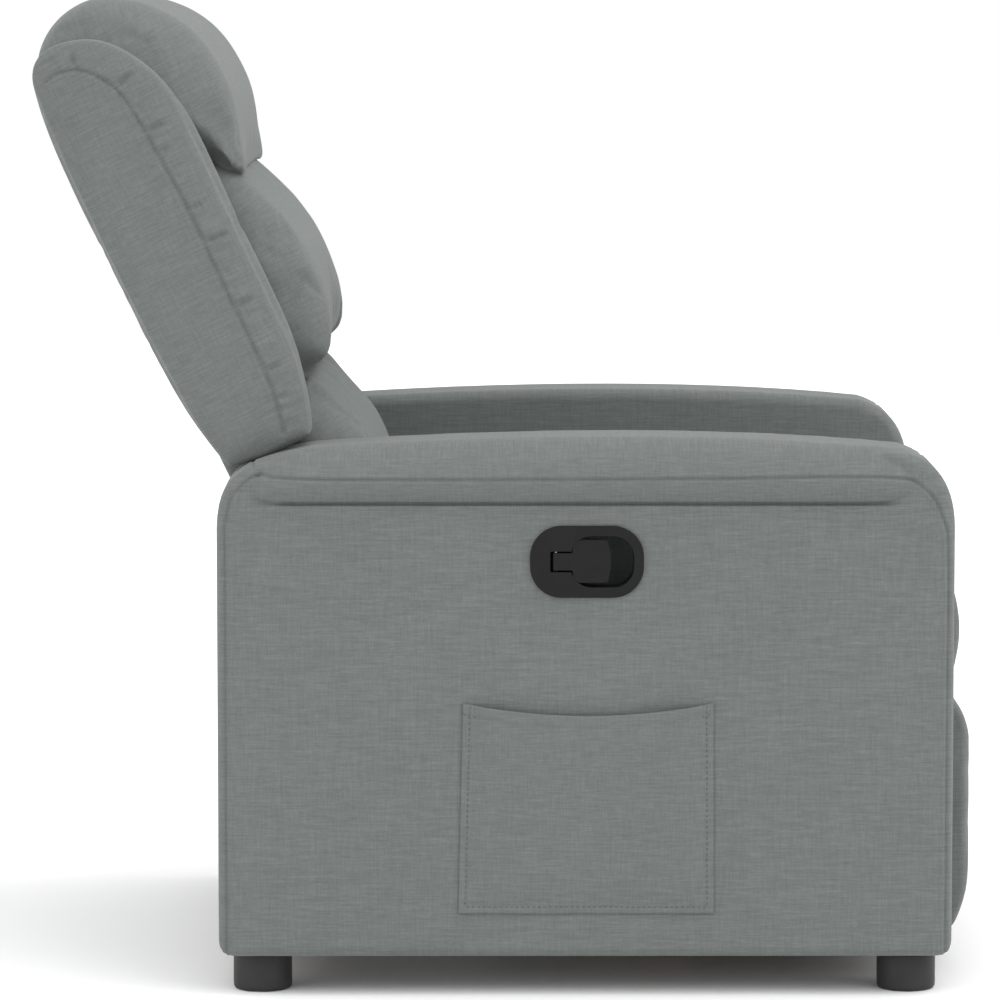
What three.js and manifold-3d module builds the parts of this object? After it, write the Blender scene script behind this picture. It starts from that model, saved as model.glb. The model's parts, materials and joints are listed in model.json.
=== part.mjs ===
// Manual recliner armchair with a flush pull latch. Millimetres, +Z up, the sitter faces +X.
// The origin is on the floor, under the middle of the chair's bounding box.
//
// The chair is a base (two upholstered arms, stretchers, legs), a seat carriage that glides on
// four swing links, a backrest hinged to the carriage, and a footrest on a lazy-tongs linkage.
import * as THREE from "three";
import { mergeVertices } from "three/addons/utils/BufferGeometryUtils.js";
import Module from "manifold-3d";

const wasm = await Module();
wasm.setup();

// ---------------------------------------------------------------- driving dimensions
const HALF_WIDTH = 370; // to the outside of each arm's padded roll
const ARM_TOP = 572; // crown of the arm
const ARM_BOTTOM = 40; // underside of the arms, which is the legs' height
const ARM_BACK = -292; // rear edge of the arms
const ARM_FRONT = 455; // front edge of the arms
const ARM_IN = 252; // distance of an arm's inner face from the middle plane
const ARM_OUT = 358; // distance of an arm's outer side panel
const ARM_WALL = 16; // foam and fabric over the arm's wooden frame
const ROLL_BOTTOM = 505; // lower edge of the padded roll on top of the arm
const LEG_RADIUS = 30;
const LEG_INSET = 43; // from an arm's front or rear edge to a leg's centre
const SEAT_HALF = 246; // half width of the seat cushion
const SEAT_TOP = 468;
const SEAT_BACK = -100;
const SEAT_FRONT = 472;
const RAIL_BOTTOM = 301.4; // underside of the wooden seat frame
const RAIL_TOP = 343;
const BACK_PIVOT = [-215, 340]; // backrest hinge, as [x, z]
const BACK_TILT = 25.5; // degrees that the upright backrest leans from the vertical
const BACK_HALF = 318; // half width over the side bolsters
const BOLSTER_IN = 243;
const PIN = 5; // radius of the mechanism's rivets
const HOLE = 5.5; // radius of the holes that turn on them
const GAP = 0.3; // clearance between faces that touch

// Steel layers of the mechanism, as [inner, outer] distances from the middle plane.
const LAYER = {
  baseRail: [247.5, 251.5],
  swingLink: [241.5, 245.5],
  seatPlate: [235.5, 239.5],
  rearLink: [229.5, 233.5],
  outerLink: [223.5, 227.5],
  frontLink: [217.5, 221.5],
  lowerLink: [211.5, 215.5],
};

// Pivots of the swing links and of the footrest's linkage when it is folded, as [x, z].
const SWING_BASE = { front: [150, 150], rear: [-130, 150] };
const SWING_LENGTH = 90;
const SWING_LEAN = 20; // degrees that a swing link leans back at rest
const FOOT = {
  rearPivot: [370, 241.6], // rear link on the seat plate
  frontPivot: [415.4, 271.9], // front link on the seat plate
  knee: [253.3, 104.1], // rear link to outer link
  crossing: [305.2, 125.2], // front link to outer link
  elbow: [285.9, 79.9], // front link to lower link
  upper: [418, 220], // outer link to footrest bracket
  lower: [412.6, 158.1], // lower link to footrest bracket
};
const LINK_RADIUS = 12;
const LOCK_PIVOT = [200, 150];
const LOCK_Y = -184;
const LATCH = { x: 82.5, z: 446, width: 115, height: 73, pivotX: 51, pivotY: -357 };

// ---------------------------------------------------------------- materials
const paint = (color, roughness, metalness = 0) =>
  new THREE.MeshStandardMaterial({ color, roughness, metalness });
const FABRIC = paint(0x787d7b, 0.95);
const BLACK_PLASTIC = paint(0x2c2c2c, 0.5);
const LEG_PLASTIC = paint(0x3a3a3a, 0.45);
const WOOD = paint(0xb8946a, 0.8);
const STEEL = paint(0x2b2d30, 0.45, 0.8);
const SPRING_STEEL = paint(0x9a9da0, 0.35, 0.9);
const WEBBING = paint(0x1f1f22, 0.9);

// ---------------------------------------------------------------- helpers
function solidOf(geometry) {
  const bare = geometry.index ? geometry.toNonIndexed() : geometry.clone();
  bare.deleteAttribute("normal");
  bare.deleteAttribute("uv");
  const merged = mergeVertices(bare, 1e-3);
  return new wasm.Manifold(
    new wasm.Mesh({
      numProp: 3,
      vertProperties: merged.attributes.position.array,
      triVerts: new Uint32Array(merged.index.array),
    }),
  );
}

function geometryOf(solid) {
  const mesh = solid.getMesh();
  const geometry = new THREE.BufferGeometry();
  geometry.setAttribute("position", new THREE.BufferAttribute(mesh.vertProperties, 3));
  geometry.setIndex(new THREE.BufferAttribute(mesh.triVerts, 1));
  return geometry;
}

const join = (first, ...rest) =>
  geometryOf(rest.reduce((solid, other) => solid.add(solidOf(other)), solidOf(first)));
const cut = (first, ...rest) =>
  geometryOf(rest.reduce((solid, other) => solid.subtract(solidOf(other)), solidOf(first)));

// A closed outline from [x, y, radius] corners; a corner with a radius is rounded by a curve
// that takes at most half of each edge beside it.
function outline(corners) {
  const shape = new THREE.Shape();
  const points = corners.map(([x, y]) => new THREE.Vector2(x, y));
  corners.forEach(([, , radius = 0], i) => {
    const p = points[i];
    const toBefore = points.at(i - 1).clone().sub(p);
    const toAfter = points[(i + 1) % points.length].clone().sub(p);
    const r = Math.min(radius, 0.49 * toBefore.length(), 0.49 * toAfter.length());
    const start = p.clone().add(toBefore.setLength(r));
    const end = p.clone().add(toAfter.setLength(r));
    if (i === 0) shape.moveTo(start.x, start.y);
    else shape.lineTo(start.x, start.y);
    if (r > 0) shape.quadraticCurveTo(p.x, p.y, end.x, end.y);
  });
  shape.closePath();
  return shape;
}

// A closed smooth outline through [x, y] points.
const smoothOutline = (points, divisions) =>
  new THREE.Shape(
    new THREE.SplineCurve([...points, points[0]].map(([x, y]) => new THREE.Vector2(x, y)))
      .getPoints(divisions)
      .slice(0, -1),
  );

// A side-view shape (x, z) extruded between two y values. A bevel rounds both faces inwards.
function slab(shape, [y0, y1], bevel = 0, curveSegments = 4, bevelSegments = 2) {
  return new THREE.ExtrudeGeometry(shape, {
    depth: y1 - y0 - 2 * bevel,
    curveSegments,
    bevelEnabled: bevel > 0,
    bevelThickness: bevel,
    bevelSize: bevel,
    bevelOffset: -bevel,
    bevelSegments,
  })
    .rotateX(Math.PI / 2)
    .translate(0, y1 - bevel, 0);
}

// The same layer on the left (side 1) or the right (side -1) of the middle plane.
const onSide = (side, [inner, outer]) => (side > 0 ? [inner, outer] : [-outer, -inner]);

const block = ([x0, x1], [y0, y1], [z0, z1]) =>
  new THREE.BoxGeometry(x1 - x0, y1 - y0, z1 - z0).translate(
    (x0 + x1) / 2,
    (y0 + y1) / 2,
    (z0 + z1) / 2,
  );

const rod = (radius, [x, z], [y0, y1], sides = 8) =>
  new THREE.CylinderGeometry(radius, radius, y1 - y0, sides).translate(x, (y0 + y1) / 2, z);

// A rivet that grows from a plate across another one, with a head beyond it.
function rivet(side, at, from, to) {
  const outwards = to > from;
  const head = outwards ? [to, to + 1.2] : [to - 1.2, to];
  const shank = outwards ? [from - 1, head[0] + 0.5] : [head[1] - 0.5, from + 1];
  return [rod(PIN, at, onSide(side, shank)), rod(PIN + 3, at, onSide(side, head))];
}

// A steel link: a strap around its pivots, with clearance holes and rivets.
function strap(side, layer, points, { holes = [], pins = [], radius = LINK_RADIUS } = {}) {
  const span = onSide(side, LAYER[layer]);
  const legs = points.slice(1).map((end, i) => bar(points[i], end, span, radius));
  const caps = points.map((p) => rod(radius, p, span, 12));
  const plate = join(...caps, ...legs, ...pins);
  const long = [span[0] - 1, span[1] + 1];
  return holes.length ? cut(plate, ...holes.map((p) => rod(HOLE, p, long))) : plate;
}

// A flat bar between two pivots, as wide as a strap.
function bar([x0, z0], [x1, z1], span, radius) {
  const along = new THREE.Vector2(x1 - x0, z1 - z0).normalize().multiplyScalar(radius);
  const across = [-along.y, along.x];
  const corner = (x, z, s) => [x + s * across[0], z + s * across[1]];
  return slab(
    outline([corner(x0, z0, 1), corner(x0, z0, -1), corner(x1, z1, -1), corner(x1, z1, 1)]),
    span,
  );
}

// A round wire or tube along a curve.
function wire(curve, radius, steps, sides) {
  const section = new THREE.Shape(
    Array.from({ length: sides }, (_, i) => {
      const angle = (2 * Math.PI * i) / sides;
      return new THREE.Vector2(radius * Math.cos(angle), radius * Math.sin(angle));
    }),
  );
  return new THREE.ExtrudeGeometry(section, { extrudePath: curve, steps, bevelEnabled: false });
}

const chair = new THREE.Group();

function add(name, geometry, material, parent = chair) {
  const mesh = new THREE.Mesh(geometry, material);
  mesh.name = name;
  parent.add(mesh);
  return mesh;
}

const SIDES = [
  ["left", 1],
  ["right", -1],
];

// ---------------------------------------------------------------- arms
function armShape(corner) {
  const [back, front] = [ARM_BACK, ARM_FRONT];
  const [bottom, top] = [ARM_BOTTOM, ARM_TOP];
  const shape = new THREE.Shape();
  shape.moveTo(back + corner, bottom);
  shape.lineTo(front - corner, bottom);
  shape.quadraticCurveTo(front, bottom, front, bottom + corner);
  shape.lineTo(front, top - 92);
  shape.quadraticCurveTo(front - 1, top - 26, front - 53, top - 12);
  shape.bezierCurveTo(front - 225, top + 4, front - 435, top + 4, back + 97, top - 10);
  shape.lineTo(back + 30, top - 23);
  shape.quadraticCurveTo(back + 2, top - 31, back, top - 92);
  shape.lineTo(back, bottom + corner);
  shape.quadraticCurveTo(back, bottom, back + corner, bottom);
  return shape;
}

const FRAME_IN = ARM_IN + ARM_WALL;
const FRAME_OUT = ARM_OUT - ARM_WALL;
const CABLE_EXIT = [62, 193]; // where the release cable leaves the right arm, as [x, z]

function armCover(side) {
  const bevel = 8;
  const rollBevel = 20;
  const body = slab(armShape(22), onSide(side, [ARM_IN, ARM_OUT]), bevel);
  const wide = onSide(side, [ARM_IN - 2, HALF_WIDTH]);
  const below = block([ARM_BACK - 1, ARM_FRONT + 1], [wide[0] - 1, wide[1] + 1], [0, ROLL_BOTTOM]);
  const roll = cut(slab(armShape(80), wide, rollBevel, 6, 3), below);
  const hollow = slab(
    outline([
      [ARM_BACK + ARM_WALL, ARM_BOTTOM - 10],
      [ARM_FRONT - ARM_WALL, ARM_BOTTOM - 10],
      [ARM_FRONT - ARM_WALL, 470, 20],
      [ARM_FRONT - 60, ARM_TOP - 32, 20],
      [ARM_BACK + 60, ARM_TOP - 38, 20],
      [ARM_BACK + ARM_WALL, 470, 20],
    ]),
    onSide(side, [FRAME_IN, FRAME_OUT]),
  );
  const shell = cut(join(body, roll), hollow);
  if (side > 0) return shell;
  const latchHole = slab(latchShape(-3), [-ARM_OUT - 2, -FRAME_OUT + 2]);
  const cableHole = rod(10, CABLE_EXIT, [-FRAME_IN - 2, -ARM_IN + 2]);
  return cut(shell, latchHole, cableHole);
}

// A box frame of posts and rails, with two windows between them.
function armFrame(side) {
  const back = ARM_BACK + ARM_WALL + 3;
  const front = ARM_FRONT - ARM_WALL - 3;
  const bottom = ARM_BOTTOM + 2;
  const span = onSide(side, [FRAME_IN + 1.5, FRAME_OUT - 1.5]);
  const timber = 45;
  const body = slab(
    outline([
      [back, bottom],
      [front, bottom],
      [front, 465, 20],
      [ARM_FRONT - 64, ARM_TOP - 40],
      [ARM_BACK + 64, ARM_TOP - 46],
      [back, 465, 20],
    ]),
    span,
  );
  const through = [span[0] - 1, span[1] + 1];
  const windows = [
    [back + timber, ARM_BACK + 172],
    [ARM_BACK + 207, front - timber],
  ].map((x) => block(x, through, [bottom + 60, 480]));
  const studs = legCentres(side).map(([x, y]) =>
    new THREE.CylinderGeometry(4.8, 4.8, 60, 12).rotateX(Math.PI / 2).translate(x, y, bottom + 5),
  );
  return cut(body, ...windows, ...studs);
}

const legCentres = (side) =>
  [ARM_FRONT - LEG_INSET, ARM_BACK + LEG_INSET].map((x) => [x, (side * (ARM_IN + ARM_OUT)) / 2]);

for (const [word, side] of SIDES) {
  add(`${word}_arm_frame`, armFrame(side), WOOD);
  add(`${word}_arm_cover`, armCover(side), FABRIC);
}

// ---------------------------------------------------------------- legs
function leg() {
  const top = ARM_BOTTOM - GAP;
  const shoulder = 24; // fits inside the arm cover, up to the frame
  const shoulderTop = ARM_BOTTOM + 2 - GAP;
  const stud = 4;
  const studTop = shoulderTop + 28;
  return new THREE.LatheGeometry(
    [
      [0, 0],
      [LEG_RADIUS - 4, 0],
      [LEG_RADIUS - 1.2, 1.2],
      [LEG_RADIUS, 4],
      [LEG_RADIUS, top],
      [shoulder, top],
      [shoulder, shoulderTop],
      [stud, shoulderTop],
      [stud, studTop],
      [0, studTop],
    ].map(([r, z]) => new THREE.Vector2(r, z)),
    20,
  ).rotateX(Math.PI / 2);
}

for (const [word, side] of SIDES) {
  legCentres(side).forEach(([x, y], i) => {
    add(`${i ? "rear" : "front"}_${word}_leg`, leg(), LEG_PLASTIC).position.set(x, y, 0);
  });
}

// ---------------------------------------------------------------- stretchers and rear apron
const BETWEEN_ARMS = [-ARM_IN + GAP, ARM_IN - GAP];
const FRONT_STRETCHER = { x: [140, 165], z: [45, 105] };
add("front_stretcher", block(FRONT_STRETCHER.x, BETWEEN_ARMS, FRONT_STRETCHER.z), WOOD);
add("rear_stretcher", block([-268, -245], BETWEEN_ARMS, [60, 120]), WOOD);
add(
  "rear_apron",
  slab(
    outline([
      [-291, 42, 7],
      [-272, 42, 7],
      [-272, 385, 7],
      [-291, 385, 7],
    ]),
    BETWEEN_ARMS,
    3,
    4,
  ),
  FABRIC,
);

// ---------------------------------------------------------------- base rails and swing links
const lean = THREE.MathUtils.degToRad(SWING_LEAN);
const swingTop = ([x, z]) => [
  x - SWING_LENGTH * Math.sin(lean),
  z + SWING_LENGTH * Math.cos(lean),
];
const SWING_TOP = { front: swingTop(SWING_BASE.front), rear: swingTop(SWING_BASE.rear) };
const headIn = (layer) => LAYER[layer][0] - GAP;
const headOut = (layer) => LAYER[layer][1] + GAP;

function baseRail(side) {
  const [rearX, frontX] = [SWING_BASE.rear[0] - 35, SWING_BASE.front[0] + 35];
  const plate = slab(
    outline([
      [rearX, 110, 10],
      [frontX, 110, 10],
      [frontX, 168, 14],
      [rearX, 168, 14],
    ]),
    onSide(side, LAYER.baseRail),
  );
  const pins = Object.values(SWING_BASE).flatMap((p) =>
    rivet(side, p, LAYER.baseRail[0], headIn("swingLink")),
  );
  return join(plate, ...pins);
}

for (const [word, side] of SIDES) {
  add(`${word}_base_rail`, baseRail(side), STEEL);
  for (const end of ["front", "rear"]) {
    const ends = [SWING_BASE[end], SWING_TOP[end]];
    add(`${end}_${word}_swing_link`, strap(side, "swingLink", ends, { holes: ends }), STEEL);
  }
}

// ---------------------------------------------------------------- seat carriage
const SPRING_ANCHOR = [150, 262];
const SPRING_Y = [192, 208];
const FLANGE_IN = 200;

function seatPlate(side) {
  const [px, pz] = BACK_PIVOT;
  const [, outer] = LAYER.seatPlate;
  const web = slab(
    outline([
      [px - 21, pz - 22, 10],
      [px + 32, 218, 12],
      [FOOT.rearPivot[0] - 15, 218],
      [FOOT.rearPivot[0] + 15, 226],
      [430, 258, 8],
      [430, 301],
      [px + 50, 301],
      [px + 20, pz + 18, 14],
      [px - 20, pz + 18, 14],
    ]),
    onSide(side, LAYER.seatPlate),
  );
  const flange = block([px + 75, 420], onSide(side, [FLANGE_IN, outer]), [298, 301]);
  const anchor = slab(
    outline([
      [SPRING_ANCHOR[0] - 10, 298.5],
      [SPRING_ANCHOR[0] - 10, 254],
      [SPRING_ANCHOR[0] - 4, 254],
      [SPRING_ANCHOR[0] - 4, 298.5],
    ]),
    onSide(side, SPRING_Y),
  );
  const pins = [
    rivet(side, FOOT.rearPivot, LAYER.seatPlate[0], headIn("rearLink")),
    rivet(side, FOOT.frontPivot, LAYER.seatPlate[0], headIn("frontLink")),
    rivet(side, BACK_PIVOT, LAYER.seatPlate[0], headIn("rearLink")),
    rivet(side, SWING_TOP.front, outer, headOut("swingLink")),
    rivet(side, SWING_TOP.rear, outer, headOut("swingLink")),
  ].flat();
  return join(web, flange, anchor, ...pins);
}

for (const [word, side] of SIDES) add(`${word}_seat_plate`, seatPlate(side), STEEL);

const SEAT_RAIL = { back: -140, front: 430, thick: 24 };
add(
  "seat_frame",
  cut(
    block([SEAT_RAIL.back, SEAT_RAIL.front], [-SEAT_HALF, SEAT_HALF], [RAIL_BOTTOM, RAIL_TOP]),
    block(
      [SEAT_RAIL.back + SEAT_RAIL.thick, SEAT_RAIL.front - SEAT_RAIL.thick],
      [-SEAT_HALF + 42, SEAT_HALF - 42],
      [RAIL_BOTTOM - 1, RAIL_TOP + 1],
    ),
  ),
  WOOD,
);

// A sinuous spring: a wire that winds from the rear rail to the front rail.
class Sinuous extends THREE.Curve {
  constructor(y, z) {
    super();
    this.y = y;
    this.z = z;
  }
  getPoint(t, target = new THREE.Vector3()) {
    const waves = 8;
    const reach = 22;
    const x = SEAT_RAIL.back + 14 + t * (SEAT_RAIL.front - SEAT_RAIL.back - 28);
    return target.set(x, this.y + reach * Math.sin(2 * Math.PI * waves * t), this.z);
  }
}
const SEAT_SPRINGS = [-150, -50, 50, 150];
SEAT_SPRINGS.forEach((y, i) => {
  const spring = wire(new Sinuous(y, RAIL_TOP + 2.6), 2, 48, 4);
  add(`seat_spring_${i + 1}`, spring, SPRING_STEEL);
});

// The cushion lies on the springs, and its front lip hangs over the front rail.
add(
  "seat_cushion",
  slab(
    outline([
      [SEAT_BACK, 350, 15],
      [SEAT_RAIL.front + 3, 350],
      [SEAT_RAIL.front + 3, 298, 15],
      [SEAT_FRONT - 6, 298, 15],
      [SEAT_FRONT + 2, 345, 20],
      [SEAT_FRONT - 6, 420, 30],
      [SEAT_FRONT - 50, SEAT_TOP, 50],
      [SEAT_BACK, SEAT_TOP - 10, 15],
    ]),
    [-SEAT_HALF, SEAT_HALF],
    8,
  ),
  FABRIC,
);

// ---------------------------------------------------------------- footrest linkage
const lobe = 28; // from the rear link's pivot to the spring's peg
const PEG = [FOOT.rearPivot[0] + 0.647 * lobe, FOOT.rearPivot[1] + 0.763 * lobe];
const along = ([x0, z0], [x1, z1], share) => [x0 + share * (x1 - x0), z0 + share * (z1 - z0)];
const TUBE = along(FOOT.rearPivot, FOOT.knee, 0.35); // torque tube between the rear links
const TUBE_RADIUS = 8;

function footrestLinks(side) {
  const { rearPivot, frontPivot, knee, crossing, elbow, upper, lower } = FOOT;
  const peg = rod(4, PEG, onSide(side, [SPRING_Y[0] - 2, LAYER.rearLink[0] + 1]), 10);
  const stub = rod(PIN, crossing, onSide(side, [headOut("frontLink"), LAYER.outerLink[0] + 1]));
  const longPin = rod(
    PIN,
    lower,
    onSide(side, [LAYER.lowerLink[1] - 1, LAYER.rearLink[0] - GAP]),
  );
  return {
    rear_link: strap(side, "rearLink", [PEG, rearPivot, knee], {
      holes: [rearPivot],
      pins: [peg, ...rivet(side, knee, LAYER.rearLink[0], headIn("outerLink"))],
    }),
    front_link: strap(side, "frontLink", [frontPivot, crossing, elbow], {
      holes: [frontPivot],
      pins: rivet(side, elbow, LAYER.frontLink[0], headIn("lowerLink")),
    }),
    outer_link: strap(side, "outerLink", [knee, crossing, upper], {
      holes: [knee],
      pins: [stub, ...rivet(side, upper, LAYER.outerLink[1], headOut("rearLink"))],
    }),
    lower_link: strap(side, "lowerLink", [elbow, lower], { holes: [elbow], pins: [longPin] }),
  };
}

const BOARD = { back: 432, front: 447, bottom: 46, top: 288, half: 243 };

function footrestBracket(side) {
  const layer = LAYER.rearLink;
  const face = BOARD.back - GAP;
  const web = slab(
    outline([
      [face, 138],
      [face, 242],
      [FOOT.upper[0] - 13, 234, 6],
      [FOOT.lower[0] - 13, 146, 6],
    ]),
    onSide(side, layer),
  );
  const flange = block([face - 3, face], onSide(side, [layer[0], BOARD.half]), [120, 250]);
  return cut(join(web, flange), rod(HOLE, FOOT.upper, onSide(side, [layer[0] - 1, layer[1] + 1])));
}

for (const [word, side] of SIDES) {
  for (const [name, geometry] of Object.entries(footrestLinks(side))) {
    add(`${word}_${name}`, geometry, STEEL);
  }
  add(`${word}_footrest_bracket`, footrestBracket(side), STEEL);
}
const tubeEnd = LAYER.rearLink[0] - GAP;
add("footrest_torque_tube", rod(TUBE_RADIUS, TUBE, [-tubeEnd, tubeEnd], 12), STEEL);
add(
  "footrest_board",
  block([BOARD.back, BOARD.front], [-BOARD.half, BOARD.half], [BOARD.bottom, BOARD.top]),
  WOOD,
);
add(
  "footrest_pad",
  slab(
    outline([
      [BOARD.front + GAP, BOARD.bottom - 4, 9],
      [BOARD.front + 22, BOARD.bottom - 3, 12],
      [BOARD.front + 36, 110, 30],
      [BOARD.front + 36, 235, 30],
      [BOARD.front + 20, BOARD.top + 3, 12],
      [BOARD.front + GAP, BOARD.top + 3, 9],
    ]),
    [-SEAT_HALF, SEAT_HALF],
    5,
  ),
  FABRIC,
);

// A close-wound extension spring with a straight hook at each end, from the seat plate's anchor
// to the peg on the rear link.
function footrestSpring(side) {
  const [x0, z0] = [SPRING_ANCHOR[0] + 0.5, SPRING_ANCHOR[1]];
  const [x1, z1] = [PEG[0] - 4.6, PEG[1]];
  const length = Math.hypot(x1 - x0, z1 - z0);
  const hook = 18;
  const coils = 9;
  const pitch = (length - 2 * hook) / coils;
  const ribs = Array.from({ length: coils }, (_, i) => [
    [6.2, hook + i * pitch],
    [8, hook + (i + 0.5) * pitch],
  ]).flat();
  const profile = [[0, 0], [2, 0], [2, hook], ...ribs, [6.2, length - hook]];
  profile.push([2, length - hook], [2, length], [0, length]);
  return new THREE.LatheGeometry(
    profile.map(([r, z]) => new THREE.Vector2(r, z)),
    8,
  )
    .rotateZ(-Math.PI / 2)
    .rotateY(-Math.atan2(z1 - z0, x1 - x0))
    .translate(x0, (side * (SPRING_Y[0] + SPRING_Y[1])) / 2, z0);
}
for (const [word, side] of SIDES) {
  add(`${word}_footrest_spring`, footrestSpring(side), SPRING_STEEL);
}

// ---------------------------------------------------------------- backrest
// Its own frame: x runs forwards from the hinge line, square to the back, and z runs up it.
const back = new THREE.Group();
back.position.set(BACK_PIVOT[0], 0, BACK_PIVOT[1]);
back.rotation.y = -THREE.MathUtils.degToRad(BACK_TILT);
chair.add(back);

const STILE = { in: 205, out: 229.2, back: 24, front: 46, bottom: -8, top: 636 };

function backFrame() {
  const x = [STILE.back, STILE.front];
  const stiles = SIDES.map(([, side]) =>
    block(x, onSide(side, [STILE.in, STILE.out]), [STILE.bottom, STILE.top]),
  );
  const rail = (half, z) => block(x, [-half, half], z);
  return join(
    ...stiles,
    rail(STILE.out - 1, [STILE.bottom, 34]),
    rail(BOLSTER_IN - 2, [STILE.top - 200, STILE.top - 160]),
    rail(BOLSTER_IN - 2, [260, 300]),
    rail(BOLSTER_IN - 2, [STILE.top - 40, STILE.top]),
  );
}
add("back_frame", backFrame(), WOOD, back);

[90, 205, 365].forEach((z, i) => {
  const strap = block([STILE.front + 0.2, STILE.front + 1.6], [-222, 222], [z - 25, z + 25]);
  add(`back_webbing_${i + 1}`, strap, WEBBING, back);
});

function backBracket(side) {
  const layer = onSide(side, LAYER.rearLink);
  const plate = slab(
    outline([
      [-15, -14, 12],
      [14, -16, 12],
      [46, 4, 8],
      [48, 180, 8],
      [26, 180, 8],
      [26, 40, 8],
      [-15, 14, 10],
    ]),
    layer,
  );
  return cut(plate, rod(HOLE, [0, 0], [layer[0] - 1, layer[1] + 1]));
}
for (const [word, side] of SIDES) add(`${word}_back_bracket`, backBracket(side), STEEL, back);

const BOLSTER = [
  [15, 215, 12],
  [6, 262, 30],
  [6, 655, 30],
  [40, 679, 25],
  [90, 672, 30],
  [141, 600, 60],
  [141, 258, 40],
  [118, 208, 18],
];
const bolsterSpan = (side) => onSide(side, [BOLSTER_IN, BACK_HALF]);
for (const [word, side] of SIDES) {
  add(`${word}_bolster`, slab(outline(BOLSTER), bolsterSpan(side), 10, 6), FABRIC, back);
}

function headrest() {
  const profile = outline([
    [14, 475, 45],
    [14, 699, 60],
    [130, 703, 60],
    [184, 640, 60],
    [184, 545, 50],
    [152, 475, 20],
  ]);
  const roll = slab(profile, [-300, 300], 24, 6, 3);
  const frameRoom = block([-5, STILE.front + 3], [-310, 310], [400, 642]);
  const bolsterRoom = SIDES.map(([, side]) => {
    const shape = outline([
      [0, 200, 10],
      [0, 657, 30],
      [38, 681, 25],
      [92, 675, 30],
      [143, 601, 60],
      [143, 200, 8],
    ]);
    return slab(shape, onSide(side, [BOLSTER_IN - 1.5, BACK_HALF + 5]));
  });
  return cut(roll, frameRoom, ...bolsterRoom);
}
add("headrest_cushion", headrest(), FABRIC, back);

const CUSHION_HALF = BOLSTER_IN - 2;
add(
  "middle_back_cushion",
  slab(
    outline([
      [STILE.front + 3, 258, 18],
      [147, 258, 14],
      [176, 302, 30],
      [182, 350, 40],
      [180, 405, 40],
      [153, 471, 20],
      [STILE.front + 3, 471, 18],
    ]),
    [-CUSHION_HALF, CUSHION_HALF],
    12,
  ),
  FABRIC,
  back,
);
add(
  "lower_back_cushion",
  slab(
    outline([
      [STILE.front + 3, 7, 18],
      [104, -22, 20],
      [142, 66, 40],
      [160, 130, 40],
      [158, 176, 40],
      [144, 254, 20],
      [STILE.front + 3, 254, 18],
    ]),
    [-CUSHION_HALF, CUSHION_HALF],
    12,
  ),
  FABRIC,
  back,
);

// The outer back: between the bolsters, and narrower at the foot, where it clears the brackets.
const rearPanel = new THREE.ExtrudeGeometry(
  outline([
    [-228.5, STILE.bottom - 2, 6],
    [228.5, STILE.bottom - 2, 6],
    [228.5, 48],
    [CUSHION_HALF, 54],
    [CUSHION_HALF, 634, 10],
    [-CUSHION_HALF, 634, 10],
    [-CUSHION_HALF, 54],
    [-228.5, 48],
  ]),
  { depth: 6.5, bevelEnabled: false, curveSegments: 4 },
)
  .rotateX(Math.PI / 2)
  .rotateZ(Math.PI / 2)
  .translate(STILE.back - 7, 0, 0);
add("back_rear_panel", rearPanel, FABRIC, back);

// ---------------------------------------------------------------- release latch, right arm
function latchShape(grow) {
  const [w, h] = [LATCH.width / 2 + grow, LATCH.height / 2 + grow];
  const { x, z } = LATCH;
  return outline([
    [x - w, z - h, 33 + grow],
    [x + w, z - h, 33 + grow],
    [x + w, z + h, 33 + grow],
    [x - w, z + h, 33 + grow],
  ]);
}

const PANEL_Y = -ARM_OUT - GAP; // seat of the latch on the arm's outer side
const TAB = { back: 45.4, front: 68, bottom: 435.5, top: 456.5 };
const WELL = { back: 66, front: 130, bottom: 420, top: 472 };
const SPRING_TOP = 441; // of the return spring, which is coiled on the hinge pin
const PADDLE = { back: 68, front: 107, bottom: 424.5, top: 468.5 };

function latchHousing() {
  const flange = slab(latchShape(0), [PANEL_Y - 3.4, PANEL_Y], 1.4, 8);
  const body = slab(
    outline([
      [TAB.back - 5, WELL.bottom - 3, 12],
      [WELL.front + 3, WELL.bottom - 3, 26],
      [WELL.front + 3, WELL.top + 3, 26],
      [TAB.back - 5, WELL.top + 3, 12],
    ]),
    [PANEL_Y - 1, -FRAME_OUT + 8],
  );
  const well = slab(
    outline([
      [WELL.back, WELL.bottom, 12],
      [WELL.front, WELL.bottom, 22],
      [WELL.front, WELL.top, 22],
      [WELL.back, WELL.top, 12],
    ]),
    [-400, -337],
  );
  const slot = block([TAB.back, TAB.front + 2], [-400, -341], [TAB.bottom, TAB.top]);
  const cablePort = block([30, TAB.back + 2], [-346.5, -339.5], [LATCH.z - 3.5, LATCH.z + 3.5]);
  return cut(join(flange, body), well, slot, cablePort);
}
add("latch_housing", latchHousing(), BLACK_PLASTIC);

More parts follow.
